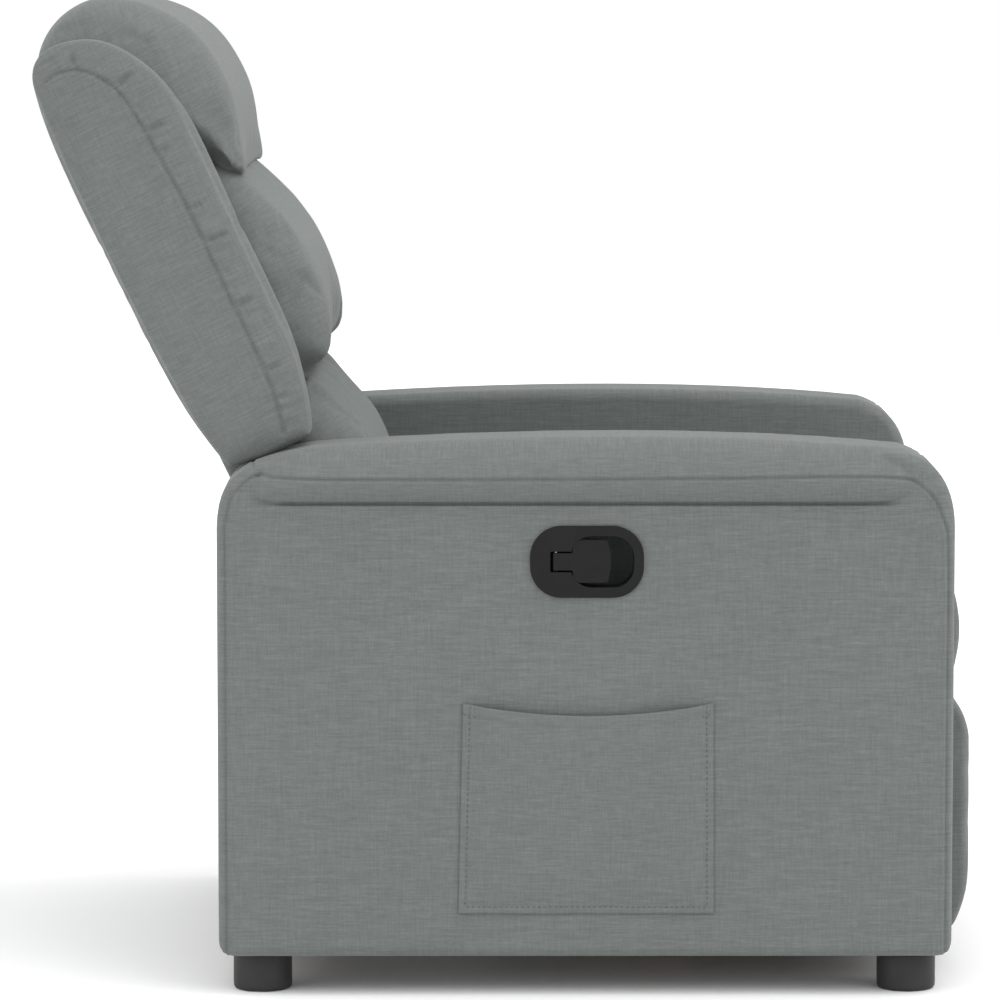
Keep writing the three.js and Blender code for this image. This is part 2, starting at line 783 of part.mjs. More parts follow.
function releaseLever() {
  const { pivotX, pivotY } = LATCH;
  const face = [PANEL_Y - 3, PANEL_Y + 1.6];
  const tab = slab(
    outline([
      [pivotX - 2.8, TAB.bottom + 1.5],
      [PADDLE.back + 1, TAB.bottom + 1.5],
      [PADDLE.back + 1, TAB.top - 1.5],
      [pivotX - 2.8, TAB.top - 1.5],
    ]),
    face,
  );
  const paddle = slab(
    outline([
      [PADDLE.back, PADDLE.bottom, 9],
      [PADDLE.front - 3, PADDLE.bottom, 6],
      [PADDLE.front, LATCH.z, 20],
      [PADDLE.front - 3, PADDLE.top, 6],
      [PADDLE.back, PADDLE.top, 9],
    ]),
    face,
    1,
    5,
  );
  const upright = (radius, bottom, top) =>
    new THREE.CylinderGeometry(radius, radius, top - bottom, 14)
      .rotateX(Math.PI / 2)
      .translate(pivotX, pivotY, (bottom + top) / 2);
  const barrel = upright(3.6, SPRING_TOP, TAB.top - 1.5);
  const arm = block([pivotX - 2, pivotX + 2], [pivotY + 1, pivotY + 14], [LATCH.z - 3, LATCH.z + 3]);
  const springRoom = upright(3.6, TAB.bottom, SPRING_TOP + GAP);
  const pinHole = upright(1.9, TAB.bottom, TAB.top);
  return cut(join(tab, paddle, barrel, arm), springRoom, pinHole);
}
add("release_lever", releaseLever(), BLACK_PLASTIC);

const hingePin = new THREE.CylinderGeometry(1.5, 1.5, TAB.top - TAB.bottom - 0.8, 12)
  .rotateX(Math.PI / 2)
  .translate(LATCH.pivotX, LATCH.pivotY, LATCH.z);
add("latch_hinge_pin", hingePin, SPRING_STEEL);

// The lever's return spring is coiled on the pin, under the lever's barrel.
const COILS = 4;
const coilPitch = (SPRING_TOP - TAB.bottom - 0.8) / COILS;
const leverSpring = new THREE.LatheGeometry(
  Array.from({ length: COILS }, (_, i) => [
    [2.7, TAB.bottom + 0.5 + i * coilPitch],
    [3.3, TAB.bottom + 0.5 + (i + 0.5) * coilPitch],
  ])
    .flat()
    .concat([
      [2.7, SPRING_TOP - 0.3],
      [1.8, SPRING_TOP - 0.3],
      [1.8, TAB.bottom + 0.5],
      [2.7, TAB.bottom + 0.5],
    ])
    .map(([r, z]) => new THREE.Vector2(r, z)),
  8,
)
  .rotateX(Math.PI / 2)
  .translate(LATCH.pivotX, LATCH.pivotY, 0);
add("latch_spring", leverSpring, SPRING_STEEL);

// ---------------------------------------------------------------- footrest lock
function lockBracket() {
  const [px, pz] = LOCK_PIVOT;
  const ear = outline([
    [FRONT_STRETCHER.x[0] + 2, 107],
    [FRONT_STRETCHER.x[1] + 3, 107],
    [px + 12, pz - 8, 6],
    [px + 12, pz + 11, 8],
    [px - 10, pz + 11, 8],
    [FRONT_STRETCHER.x[0] + 12, 118],
  ]);
  const foot = block(
    [FRONT_STRETCHER.x[0] + 2, FRONT_STRETCHER.x[1] + 3],
    [LOCK_Y - 8, LOCK_Y + 8],
    [105 + GAP, 108],
  );
  return join(
    foot,
    slab(ear, [LOCK_Y + 5, LOCK_Y + 8]),
    slab(ear, [LOCK_Y - 8, LOCK_Y - 5]),
    rod(4, LOCK_PIVOT, [LOCK_Y - 6, LOCK_Y + 6]),
  );
}
add("lock_bracket", lockBracket(), STEEL);

// The pawl's nose ends in a curved mouth, just clear of the circle that the torque tube sweeps.
function lockPawl() {
  const [px, pz] = LOCK_PIVOT;
  const [tx, tz] = TUBE;
  const plate = slab(
    outline([
      [px - 10, pz + 4, 6],
      [px - 12, pz - 36],
      [px - 3, pz - 36],
      [px + 8, pz - 10, 6],
      [tx + 4, tz - 34, 6],
      [tx + 18, tz - 22, 4],
      [tx + 8, tz + 6],
      [tx - 24, tz + 12, 6],
      [px + 8, pz + 10, 8],
    ]),
    [LOCK_Y - 3.5, LOCK_Y + 3.5],
  );
  const sweep = Math.hypot(FOOT.rearPivot[0] - tx, FOOT.rearPivot[1] - tz) + TUBE_RADIUS + 1.2;
  return cut(
    plate,
    rod(4.5, LOCK_PIVOT, [LOCK_Y - 5, LOCK_Y + 5]),
    rod(sweep, FOOT.rearPivot, [LOCK_Y - 5, LOCK_Y + 5], 64),
  );
}
add("lock_pawl", lockPawl(), STEEL);

// The release cable runs inside the arm, through its inner wall and on to the pawl's tail.
const CABLE_ROUTE = [
  [44, -343.2, LATCH.z],
  [36, -342.2, LATCH.z],
  [25, -338.6, LATCH.z - 1],
  [0, -333, 438],
  [-20, -322, 400],
  [-10, -308, 310],
  [30, -300, 225],
  [CABLE_EXIT[0] - 4, -284, CABLE_EXIT[1] + 6],
  [CABLE_EXIT[0], -260, CABLE_EXIT[1]],
  [CABLE_EXIT[0] + 4, -238, CABLE_EXIT[1] - 4],
  [86, -212, 172],
  [116, -190, 141],
  [142, LOCK_Y, 125],
  [176, LOCK_Y, 121],
];
const cableCurve = new THREE.CatmullRomCurve3(
  CABLE_ROUTE.map((point) => new THREE.Vector3(...point)),
  false,
  "centripetal",
);
add("release_cable", wire(cableCurve, 2.5, 40, 6), WEBBING);

// ---------------------------------------------------------------- side pocket, right arm
// A fabric pouch: an outer sheet with a rim along its sides and bottom, open at the top.
function sidePocket() {
  const bottom = 86;
  const corners = (inset) => [
    [-48 + inset, bottom + inset, 4],
    [212 - inset, bottom + inset, 4],
  ];
  const outer = new THREE.Shape();
  const [[x0], [x1]] = corners(0);
  outer.moveTo(x0, bottom);
  outer.lineTo(x1, bottom);
  outer.lineTo(x1 - 1, 302);
  outer.quadraticCurveTo((x0 + x1) / 2, 278, x0 + 6, 302);
  outer.closePath();
  const rim = 8;
  const inside = outline([
    [x0 + rim, bottom + rim, 4],
    [x1 - rim, bottom + rim, 4],
    [x1 - rim - 1, 330],
    [x0 + rim + 6, 330],
  ]);
  return cut(
    slab(outer, [-ARM_OUT - 10, PANEL_Y], 0, 8),
    slab(inside, [-ARM_OUT - 7.4, -ARM_OUT + 5]),
  );
}
add("side_pocket", sidePocket(), FABRIC);

export default chair;
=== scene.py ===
"""Looks of the recliner armchair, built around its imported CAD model.

Shapes are worked out in millimetres and become metres when a mesh is made. Soft pieces start as
distance fields, are meshed as a grid of quads, inflated by a cloth simulation where they are
cushions, and then get their sewn seams.
"""

import json
import math

import bpy
import numpy as np
from mathutils import Matrix, Vector
from mathutils.bvhtree import BVHTree


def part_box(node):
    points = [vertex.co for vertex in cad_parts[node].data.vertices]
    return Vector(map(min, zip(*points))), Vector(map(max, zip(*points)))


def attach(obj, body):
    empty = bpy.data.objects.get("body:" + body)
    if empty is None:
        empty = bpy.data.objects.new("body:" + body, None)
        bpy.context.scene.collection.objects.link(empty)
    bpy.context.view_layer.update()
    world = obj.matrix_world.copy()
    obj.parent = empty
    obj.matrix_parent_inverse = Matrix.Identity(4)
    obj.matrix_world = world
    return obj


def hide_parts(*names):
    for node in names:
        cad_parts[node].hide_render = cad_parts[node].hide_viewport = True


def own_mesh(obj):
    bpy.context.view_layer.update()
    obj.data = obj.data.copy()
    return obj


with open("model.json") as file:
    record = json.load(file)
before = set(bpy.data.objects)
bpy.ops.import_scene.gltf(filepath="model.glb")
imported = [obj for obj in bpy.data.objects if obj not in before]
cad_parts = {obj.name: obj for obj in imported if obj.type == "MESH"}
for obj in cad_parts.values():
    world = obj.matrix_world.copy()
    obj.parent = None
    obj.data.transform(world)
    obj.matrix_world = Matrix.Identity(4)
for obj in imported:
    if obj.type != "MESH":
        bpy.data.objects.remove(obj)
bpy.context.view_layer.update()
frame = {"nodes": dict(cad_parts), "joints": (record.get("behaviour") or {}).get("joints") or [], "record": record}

MM = 0.001
SIDES = (("left", 1), ("right", -1))


def cad_mm(node):
    """Lowest and highest corners of a CAD node, in millimetres."""
    low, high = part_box(node)
    return np.array(low) / MM, np.array(high) / MM


# ---------------------------------------------------------------- driving dimensions, from the CAD
ARM_LOW, ARM_HIGH = cad_mm("left_arm_cover")
ARM_BACK, ARM_FRONT = ARM_LOW[0], ARM_HIGH[0]
ARM_BOTTOM, ARM_TOP = ARM_LOW[2], ARM_HIGH[2]
ROLL_OUT = ARM_HIGH[1]
ROLL_IN = ARM_LOW[1]
PANEL_OUT = ROLL_OUT - 12
CREASE_Z = 506  # where the roll's underside meets the outer panel
LATCH_LOW, LATCH_HIGH = cad_mm("latch_housing")
POCKET_LOW, POCKET_HIGH = cad_mm("side_pocket")
PAD_LOW, PAD_HIGH = cad_mm("footrest_pad")
SEAT_LOW, SEAT_HIGH = cad_mm("seat_cushion")
APRON_LOW, APRON_HIGH = cad_mm("rear_apron")
BOARD_LOW, BOARD_HIGH = cad_mm("footrest_board")
JOINT = {joint["name"]: joint for joint in frame["joints"]}
BACK_PIVOT = Vector(JOINT["back_recline"]["pos_m"])
BACK_TILT = math.radians(25.5)
BACK = Matrix.Translation(BACK_PIVOT) @ Matrix.Rotation(-BACK_TILT, 4, "Y")
BOLSTER_IN, BOLSTER_OUT = (corner[1] for corner in cad_mm("left_bolster"))
CUSHION_HALF = cad_mm("middle_back_cushion")[1][1]


# ---------------------------------------------------------------- distance fields
def rounded(corners):
    """A closed outline through (u, v, radius) corners, each rounded by a curve."""
    steps = 7
    points = np.array([c[:2] for c in corners], float)
    out = []
    for i, corner in enumerate(corners):
        here = points[i]
        before, after = points[i - 1] - here, points[(i + 1) % len(points)] - here
        lengths = np.linalg.norm(before), np.linalg.norm(after)
        radius = min(corner[2], 0.49 * lengths[0], 0.49 * lengths[1])
        start, end = here + before / lengths[0] * radius, here + after / lengths[1] * radius
        for t in np.linspace(0, 1, steps if radius > 0 else 1):
            out.append((1 - t) ** 2 * start + 2 * t * (1 - t) * here + t**2 * end)
    return np.array(out)


def polygon(points):
    """The signed distance to a closed outline in the (u, v) plane, negative inside."""

    def distance(u, v):
        nearest, inside = np.inf, False
        for (u0, v0), (u1, v1) in zip(points, np.roll(points, -1, axis=0)):
            du, dv = u1 - u0, v1 - v0
            t = np.clip(((u - u0) * du + (v - v0) * dv) / (du * du + dv * dv + 1e-12), 0, 1)
            nearest = np.minimum(nearest, (u - u0 - t * du) ** 2 + (v - v0 - t * dv) ** 2)
            if dv != 0:
                crosses = (v0 > v) != (v1 > v)
                inside = inside ^ (crosses & (u < u0 + (v - v0) / dv * du))
        return np.where(inside, -1, 1) * np.sqrt(nearest)

    return distance


def box_2d(u, v, low, high, radius):
    """The distance to a rectangle with round corners."""
    low, high = np.array(low, float), np.array(high, float)
    centre, half = (low + high) / 2, (high - low) / 2
    a, b = np.abs(u - centre[0]) - half[0] + radius, np.abs(v - centre[1]) - half[1] + radius
    return np.hypot(np.maximum(a, 0), np.maximum(b, 0)) + np.minimum(np.maximum(a, b), 0) - radius


def extrude(flat, w, half, radius):
    """A flat shape given thickness, with rounded rims. w is the distance from its middle plane."""
    a, b = flat + radius, np.abs(w) - half + radius
    return np.minimum(np.maximum(a, b), 0) + np.hypot(np.maximum(a, 0), np.maximum(b, 0)) - radius


def brick(x, y, z, low, high, radius):
    """The distance to a block with rounded edges."""
    flat = box_2d(y, z, low[1:], high[1:], radius)
    return extrude(flat, x - (low[0] + high[0]) / 2, (high[0] - low[0]) / 2, radius)


def between(value, low, high):
    """0 up to low, 1 from high on, and a smooth step between. low may be the larger one."""
    t = np.clip((value - low) / (high - low), 0, 1)
    return t * t * (3 - 2 * t)


def grid_lines(low, high, step, finer=()):
    """Positions every step from low to high, and closer inside each (from, to, step) of finer."""
    at = low - 2 * step
    lines = [at]
    while at < high + 2 * step:
        move = step
        for start, end, fine in finer:
            if at < start:
                move = min(move, max(fine, start - at))
            elif at < end:
                move = min(move, fine)
        at += move
        lines.append(at)
    return np.array(lines)


def surface_quads(field, axes):
    """Points and quads on a field's zero surface, one point for each grid cell that it passes."""
    values = np.broadcast_to(
        field(*np.meshgrid(*axes, indexing="ij", sparse=True)), [len(a) for a in axes]
    )
    inside = values < 0
    corners = np.zeros([n - 1 for n in values.shape], np.int8)
    for i in (0, 1):
        for j in (0, 1):
            for k in (0, 1):
                nx, ny, nz = corners.shape
                corners += inside[i : nx + i, j : ny + j, k : nz + k]
    active = (corners > 0) & (corners < 8)
    index = np.full(active.shape, -1)
    index[active] = np.arange(active.sum())
    total, hits, quads = np.zeros((active.sum(), 3)), np.zeros(active.sum()), []
    for axis, (u, v) in enumerate(((1, 2), (2, 0), (0, 1))):
        first = np.take(values, range(values.shape[axis] - 1), axis)
        second = np.take(values, range(1, values.shape[axis]), axis)
        crossing = (first < 0) != (second < 0)
        at = np.argwhere(crossing)
        a, b = first[crossing], second[crossing]
        point = at.astype(float)
        point[:, axis] += a / (a - b)
        around = []
        for du, dv in ((0, 0), (1, 0), (1, 1), (0, 1)):
            cell = at.copy()
            cell[:, u] -= du
            cell[:, v] -= dv
            around.append(index[cell[:, 0], cell[:, 1], cell[:, 2]])
            np.add.at(total, around[-1], point)
            np.add.at(hits, around[-1], 1)
        quad = np.stack(around, 1)
        quads.append(np.where((a < 0)[:, None], quad, quad[:, ::-1]))
    places = total / hits[:, None]
    points = [np.interp(p, np.arange(len(a)), a) for p, a in zip(places.T, axes)]
    return np.stack(points, 1), np.concatenate(quads)


def settle(field, points, reach):
    """Moves points onto a field's zero surface in three rounds, each by less than reach."""
    h = 0.3
    for _ in range(3):
        x, y, z = points.T
        slope = np.stack(
            [
                field(x + h, y, z) - field(x - h, y, z),
                field(x, y + h, z) - field(x, y - h, z),
                field(x, y, z + h) - field(x, y, z - h),
            ],
            1,
        ) / (2 * h)
        move = -slope * (field(x, y, z) / np.maximum((slope**2).sum(1), 0.2))[:, None]
        length = np.linalg.norm(move, axis=1, keepdims=True)
        points = points + move * np.minimum(1, reach / np.maximum(length, 1e-9))
    return points


# ---------------------------------------------------------------- meshes
def make_piece(name, points, faces, material, body, place=None):
    """A mesh object from points in millimetres, which rides on a body."""
    mesh = bpy.data.meshes.new(name)
    mesh.from_pydata((np.asarray(points, float) * MM).tolist(), [], [list(map(int, f)) for f in faces])
    mesh.validate()
    mesh.shade_smooth()
    mesh.materials.append(material)
    piece = bpy.data.objects.new(name, mesh)
    bpy.context.scene.collection.objects.link(piece)
    if place is not None:
        piece.matrix_world = place
    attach(piece, body)
    return piece


def solid(name, field, low, high, step, material, body, place=None, finer=((), (), ())):
    """A piece from a distance field. finer holds each axis's bands of closer grid lines."""
    axes = [grid_lines(a, b, step, bands) for a, b, bands in zip(low, high, finer)]
    points, quads = surface_quads(field, axes)
    reach = 0.6 * min(np.diff(a).min() for a in axes)
    points = settle(field, points, max(reach, 0.15 * step))
    return make_piece(name, points, quads, material, body, place)


def points_of(piece):
    """A piece's points in its own frame, in millimetres."""
    co = np.empty(len(piece.data.vertices) * 3, np.float32)
    piece.data.vertices.foreach_get("co", co)
    return co.reshape(-1, 3).astype(float) / MM


def normals_of(piece):
    """The surface's direction at each point of a piece."""
    normals = np.empty(len(piece.data.vertices) * 3, np.float32)
    piece.data.vertices.foreach_get("normal", normals)
    return normals.reshape(-1, 3).astype(float)


def set_points(piece, points):
    """Moves a piece's points to places in millimetres."""
    piece.data.vertices.foreach_set("co", (points * MM).astype(np.float32).ravel())
    piece.data.update()


def subdivide(piece):
    """One level of subdivision, applied."""
    piece.modifiers.new("Subdivision", "SUBSURF").levels = 1
    bpy.context.view_layer.update()
    evaluated = piece.evaluated_get(bpy.context.evaluated_depsgraph_get())
    mesh = bpy.data.meshes.new_from_object(evaluated)
    piece.modifiers.clear()
    old, piece.data = piece.data, mesh
    mesh.name = piece.name
    bpy.data.meshes.remove(old)


def tube(name, path, radius, sides, material, body):
    """A round wire along a line of points, with closed ends."""
    path = np.asarray(path, float)
    tangents = np.gradient(path, axis=0)
    tangents /= np.linalg.norm(tangents, axis=1, keepdims=True)
    across = np.cross(tangents[0], [0.31, 0.92, 0.24])
    points, faces = [], []
    angles = np.linspace(0, 2 * np.pi, sides, endpoint=False)
    for i, (centre, along) in enumerate(zip(path, tangents)):
        across = across - along * across.dot(along)
        across /= np.linalg.norm(across)
        up = np.cross(along, across)
        for angle in angles:
            points.append(centre + radius * (math.cos(angle) * across + math.sin(angle) * up))
        if i:
            a, b = (i - 1) * sides, i * sides
            for k in range(sides):
                m = (k + 1) % sides
                faces.append((a + k, a + m, b + m, b + k))
    faces.append(tuple(range(sides))[::-1])
    faces.append(tuple(range(len(points) - sides, len(points))))
    return make_piece(name, points, faces, material, body)


def resample(path, pitch):
    """Points every pitch along a line, ends included, and the distance along it of each."""
    path = np.asarray(path, float)
    steps = np.linalg.norm(np.diff(path, axis=0), axis=1)
    along = np.concatenate([[0], np.cumsum(steps)])
    count = max(2, int(round(along[-1] / pitch)) + 1)
    at = np.linspace(0, along[-1], count)
    return np.stack([np.interp(at, along, path[:, i]) for i in range(3)], 1), at


def smooth_line(points, pitch=6):
    """A smooth line through points, sampled evenly."""
    points = np.asarray(points, float)
    padded = np.concatenate([[2 * points[0] - points[1]], points, [2 * points[-1] - points[-2]]])
    out = []
    for p0, p1, p2, p3 in zip(padded, padded[1:], padded[2:], padded[3:]):
        for t in np.linspace(0, 1, 9)[:-1]:
            cubic = 2 * p1 + (p2 - p0) * t + (2 * p0 - 5 * p1 + 4 * p2 - p3) * t**2
            cubic = cubic + (3 * p1 - p0 - 3 * p2 + p3) * t**3
            out.append(0.5 * cubic)
    out.append(points[-1])
    return resample(out, pitch)[0]


def ripple(along, wavelength, rng):
    """An uneven wave along a seam, from -1 to 1."""
    total = 0
    for share, scale in ((0.5, 1.0), (0.3, 0.57), (0.2, 1.9)):
        phase, drift = rng.uniform(0, 2 * np.pi, 2)
        turn = 2 * np.pi * along / (wavelength * scale)
        total = total + share * np.sin(turn + phase + 1.3 * np.sin(turn / 5 + drift))
    return total


def near_line(points, path):
    """For each point: distance to a line, distance along it, and the offset from it."""
    best = np.full(len(points), np.inf)
    along = np.zeros(len(points))
    offset = np.zeros((len(points), 3))
    run = 0.0
    for a, b in zip(path, path[1:]):
        d = b - a
        length = np.linalg.norm(d)
        t = np.clip((points - a) @ d / (length**2 + 1e-12), 0, 1)
        away = points - a - t[:, None] * d
        distance = np.linalg.norm(away, axis=1)
        nearer = distance < best
        best[nearer] = distance[nearer]
        along[nearer] = run + t[nearer] * length
        offset[nearer] = away[nearer]
        run += length
    return best, along, offset


def sew(piece, path, facing, width, depth, lip, pucker=0, reach=0, seed=0, towards=None, fade=0):
    """Pulls a seam into a piece along a line in its own frame, with puckers beside it.

    Only the surface that faces the given way is touched, and distances are those in side view.
    towards puts the puckers on one side of the seam. fade is how far its ends take to die out.
    """
    path = np.array(path, float)
    points, normals = points_of(piece), normals_of(piece)
    measured = points.copy()
    measured[:, 1] = 0
    path[:, 1] = 0
    margin = 3 * reach if pucker else 5 * width
    close = np.all((measured > path.min(0) - margin) & (measured < path.max(0) + margin), axis=1)
    close &= normals @ np.asarray(facing, float) > 0.15
    chosen = np.nonzero(close)[0]
    distance, along, offset = near_line(measured[chosen], path)
    push = -depth * np.exp(-((distance / width) ** 2))
    push += lip * np.exp(-(((distance - 2.4 * width) / width) ** 2))
    if pucker:
        wave = ripple(along, 26, np.random.default_rng(seed))
        share = np.exp(-distance / reach) * between(distance, 0.3 * width, 1.6 * width)
        if towards is not None:
            share = share * between(offset @ np.asarray(towards, float), 0, 3)
        push += pucker * wave * share
    if fade:
        total = np.linalg.norm(np.diff(path, axis=0), axis=1).sum()
        push *= between(along, 0, fade) * between(total - along, 0, fade)
    points[chosen] += normals[chosen] * push[:, None]
    set_points(piece, points)


STITCH_PITCH = 5.6
STITCH_LENGTH = 3.8
STITCH_SIDES = 6
# A stitch's thickness along it, as (place from its middle in lengths, radius).
STITCH_PROFILE = ((-0.5, 0.12), (-0.38, 0.42), (0.0, 0.5), (0.38, 0.42), (0.5, 0.12))


def stitch_row(name, piece, path, body, lift=0.15):
    """A row of thread stitches that lie on a piece's surface along a line in its own frame."""
    tree = BVHTree.FromPolygons(
        points_of(piece).tolist(), [tuple(p.vertices) for p in piece.data.polygons]
    )
    centres, _ = resample(path, STITCH_PITCH)
    points, faces = [], []
    ring = np.linspace(0, 2 * np.pi, STITCH_SIDES, endpoint=False)
    for i, centre in enumerate(centres):
        ahead = centres[min(i + 1, len(centres) - 1)] - centres[max(i - 1, 0)]
        hit, normal, _, _ = tree.find_nearest(Vector(centre))
        normal = np.array(normal)
        along = ahead - normal * ahead.dot(normal)
        along /= np.linalg.norm(along) + 1e-12
        side = np.cross(normal, along)
        middle = np.array(hit) + normal * lift
        base = len(points)
        for share, size in STITCH_PROFILE:
            for angle in ring:
                points.append(
                    middle
                    + along * share * STITCH_LENGTH
                    + (side * math.cos(angle) + normal * math.sin(angle)) * size
                    - normal * 0.5 * (2 * share) ** 2
                )
        for a in range(base, len(points) - STITCH_SIDES, STITCH_SIDES):
            b = a + STITCH_SIDES
            for k in range(STITCH_SIDES):
                m = (k + 1) % STITCH_SIDES
                faces.append((a + k, a + m, b + m, b + k))
        faces.append(tuple(range(base + STITCH_SIDES - 1, base - 1, -1)))
        faces.append(tuple(range(len(points) - STITCH_SIDES, len(points))))
    return make_piece(name, points, faces, THREAD_PAINTED_SHADE, body, piece.matrix_world.copy())


# ---------------------------------------------------------------- materials
class Nodes:
    """Builds a material's node tree."""

    def __init__(self, name):
        self.material = bpy.data.materials.new(name)
        self.material.use_nodes = True
        self.tree = self.material.node_tree
        self.shader = self.tree.nodes["Principled BSDF"]
        self.object_place = self.add("ShaderNodeTexCoord").outputs["Object"]

    def add(self, kind, **settings):
        node = self.tree.nodes.new(kind)
        for key, value in settings.items():
            setattr(node, key, value)
        return node

    def link(self, source, target):
        """Connects an output to an input, or sets the input to a plain number or colour."""
        if isinstance(source, (int, float, tuple)):
            target.default_value = source
        else:
            self.tree.links.new(source, target)

    def math(self, operation, a, b=0.0, c=None, clamp=False):
        node = self.add("ShaderNodeMath", operation=operation, use_clamp=clamp)
        self.link(a, node.inputs[0])
        self.link(b, node.inputs[1])
        if c is not None:
            self.link(c, node.inputs[2])
        return node.outputs[0]

    def noise(self, scale, detail=2.0, roughness=0.5):
        """Noise from 0 to 1. scale is cycles per metre, one number or one for each axis."""
        stretch = self.add("ShaderNodeMapping")
        self.link(self.object_place, stretch.inputs["Vector"])
        each = scale if isinstance(scale, tuple) else (scale, scale, scale)
        stretch.inputs["Scale"].default_value = each
        texture = self.add("ShaderNodeTexNoise")
        self.link(stretch.outputs[0], texture.inputs["Vector"])
        texture.inputs["Scale"].default_value = 1.0
        texture.inputs["Detail"].default_value = detail
        texture.inputs["Roughness"].default_value = roughness
        return texture.outputs["Fac"]

    def mix(self, share, a, b):
        node = self.add("ShaderNodeMix", data_type="FLOAT")
        self.link(share, node.inputs["Factor"])
        self.link(a, node.inputs["A"])
        self.link(b, node.inputs["B"])
        return node.outputs["Result"]

    def ramp(self, value, stops):
        node = self.add("ShaderNodeValToRGB")
        self.link(value, node.inputs[0])
        elements = node.color_ramp.elements
        while len(elements) < len(stops):
            elements.new(0.5)
        for element, (position, colour) in zip(elements, stops):
            element.position = position
            element.color = (*colour, 1)
        return node.outputs["Color"]

    def bump(self, height, distance, strength=1.0, before=None):
        node = self.add("ShaderNodeBump")
        node.inputs["Strength"].default_value = strength
        node.inputs["Distance"].default_value = distance
        self.link(height, node.inputs["Height"])
        if before is not None:
            self.link(before, node.inputs["Normal"])
        return node.outputs[0]

    def finish(self, colour=None, roughness=None, normal=None, **fixed):
        if colour is not None:
            self.link(colour, self.shader.inputs["Base Color"])
        if roughness is not None:
            self.link(roughness, self.shader.inputs["Roughness"])
        if normal is not None:
            self.link(normal, self.shader.inputs["Normal"])
        for key, value in fixed.items():
            self.shader.inputs[key.replace("_", " ")].default_value = value
        return self.material


def facing_shares(n):
    """How much a surface faces along its own x and along its own z, each from 0 to 1."""
    turn = n.add("ShaderNodeVectorTransform", vector_type="NORMAL")
    turn.convert_from, turn.convert_to = "WORLD", "OBJECT"
    n.link(n.add("ShaderNodeNewGeometry").outputs["Normal"], turn.inputs[0])
    split = n.add("ShaderNodeSeparateXYZ")
    n.link(turn.outputs[0], split.inputs[0])

    def share(value):
        size = n.math("ABSOLUTE", value)
        return n.math("MULTIPLY_ADD", size, 3.0, -1.6, clamp=True)

    return share(split.outputs["X"]), share(split.outputs["Z"])


def linen(name, colour, slub=1.0):
    """Plain-woven linen-look fabric: threads across and along, with thicker slubs in both."""
    n = Nodes(name)
    x_share, z_share = facing_shares(n)

    def threads(long, fine):
        """Noise drawn out along the surface's level lines, and up and down it."""
        level = n.noise((long, long, fine), 3.0, 0.6)
        across_y = n.noise((long, fine, long), 3.0, 0.6)
        across_x = n.noise((fine, long, long), 3.0, 0.6)
        weft = n.mix(z_share, level, across_x)
        warp = n.mix(z_share, n.mix(x_share, across_x, across_y), across_y)
        return weft, warp

    weft, warp = threads(38.0, 620.0)
    fine_weft, fine_warp = threads(150.0, 1150.0)
    cloud = n.noise(9.0, 3.0, 0.6)
    slubs = n.math("MULTIPLY_ADD", weft, 0.62, n.math("MULTIPLY", warp, 0.38))
    cross = n.math("MULTIPLY_ADD", fine_weft, 0.55, n.math("MULTIPLY", fine_warp, 0.45))
    tone = n.math("MULTIPLY_ADD", slubs, 0.6, n.math("MULTIPLY", cross, 0.4))
    tone = n.math("MULTIPLY_ADD", n.math("SUBTRACT", cloud, 0.5), 0.05, tone)
    dark, light = 1 - 0.2 * slub, 1 + 0.23 * slub
    shade = n.ramp(
        tone,
        [
            (0.36, tuple(c * dark for c in colour)),
            (0.5, colour),
            (0.64, tuple(min(1, c * light) for c in colour)),
        ],
    )
    soft = n.bump(n.noise(11.0, 2.0, 0.5), 0.004, 0.25)
    weave = n.bump(tone, 0.0006, 0.55, soft)
    return n.finish(
        shade, 0.92, weave, Sheen_Weight=0.12, Sheen_Roughness=0.45, Specular_IOR_Level=0.22
    )


def plastic(name, colour, roughness, shine, grain=900.0):
    """Moulded plastic with a fine eroded grain and slightly rubbed high spots."""
    n = Nodes(name)
    fine = n.noise(grain, 2.0, 0.6)
    rub = n.noise(35.0, 4.0, 0.65)
    dark, light = tuple(c * 0.88 for c in colour), tuple(c * 1.12 for c in colour)
    shade = n.ramp(rub, [(0.35, dark), (0.7, light)])
    rough = n.math("MULTIPLY_ADD", rub, 0.14, roughness - 0.07)
    return n.finish(shade, rough, n.bump(fine, 0.00015, 0.5), Specular_IOR_Level=shine)


def metal(name, colour, roughness, wear, metallic=1.0):
    """Painted or bare steel with scuffs that show a little bare metal."""
    n = Nodes(name)
    scuff = n.noise(70.0, 5.0, 0.7)
    shade = n.ramp(scuff, [(0.5, colour), (0.74, wear)])
    rough = n.math("MULTIPLY_ADD", scuff, 0.25, roughness - 0.12)
    return n.finish(shade, rough, n.bump(n.noise(420.0, 2.0), 0.0001, 0.4), Metallic=metallic)


def timber(name):
    """Sawn plywood and softwood."""
    n = Nodes(name)
    grain = n.noise((14.0, 14.0, 160.0), 5.0, 0.65)
    shade = n.ramp(
        grain,
        [(0.3, (0.33, 0.2, 0.1)), (0.5, (0.52, 0.36, 0.2)), (0.72, (0.62, 0.46, 0.28))],
    )
    return n.finish(shade, n.math("MULTIPLY_ADD", grain, 0.2, 0.55), n.bump(grain, 0.0004, 0.5))


def webbing_fabric(name):
    """Coarse woven elastic webbing with pale stripes."""
    n = Nodes(name)
    weave = n.noise((90.0, 900.0, 900.0), 2.0, 0.5)
    shade = n.ramp(weave, [(0.4, (0.01, 0.01, 0.012)), (0.66, (0.07, 0.07, 0.075))])
    return n.finish(shade, 0.85, n.bump(weave, 0.0004, 0.7), Sheen_Weight=0.1)


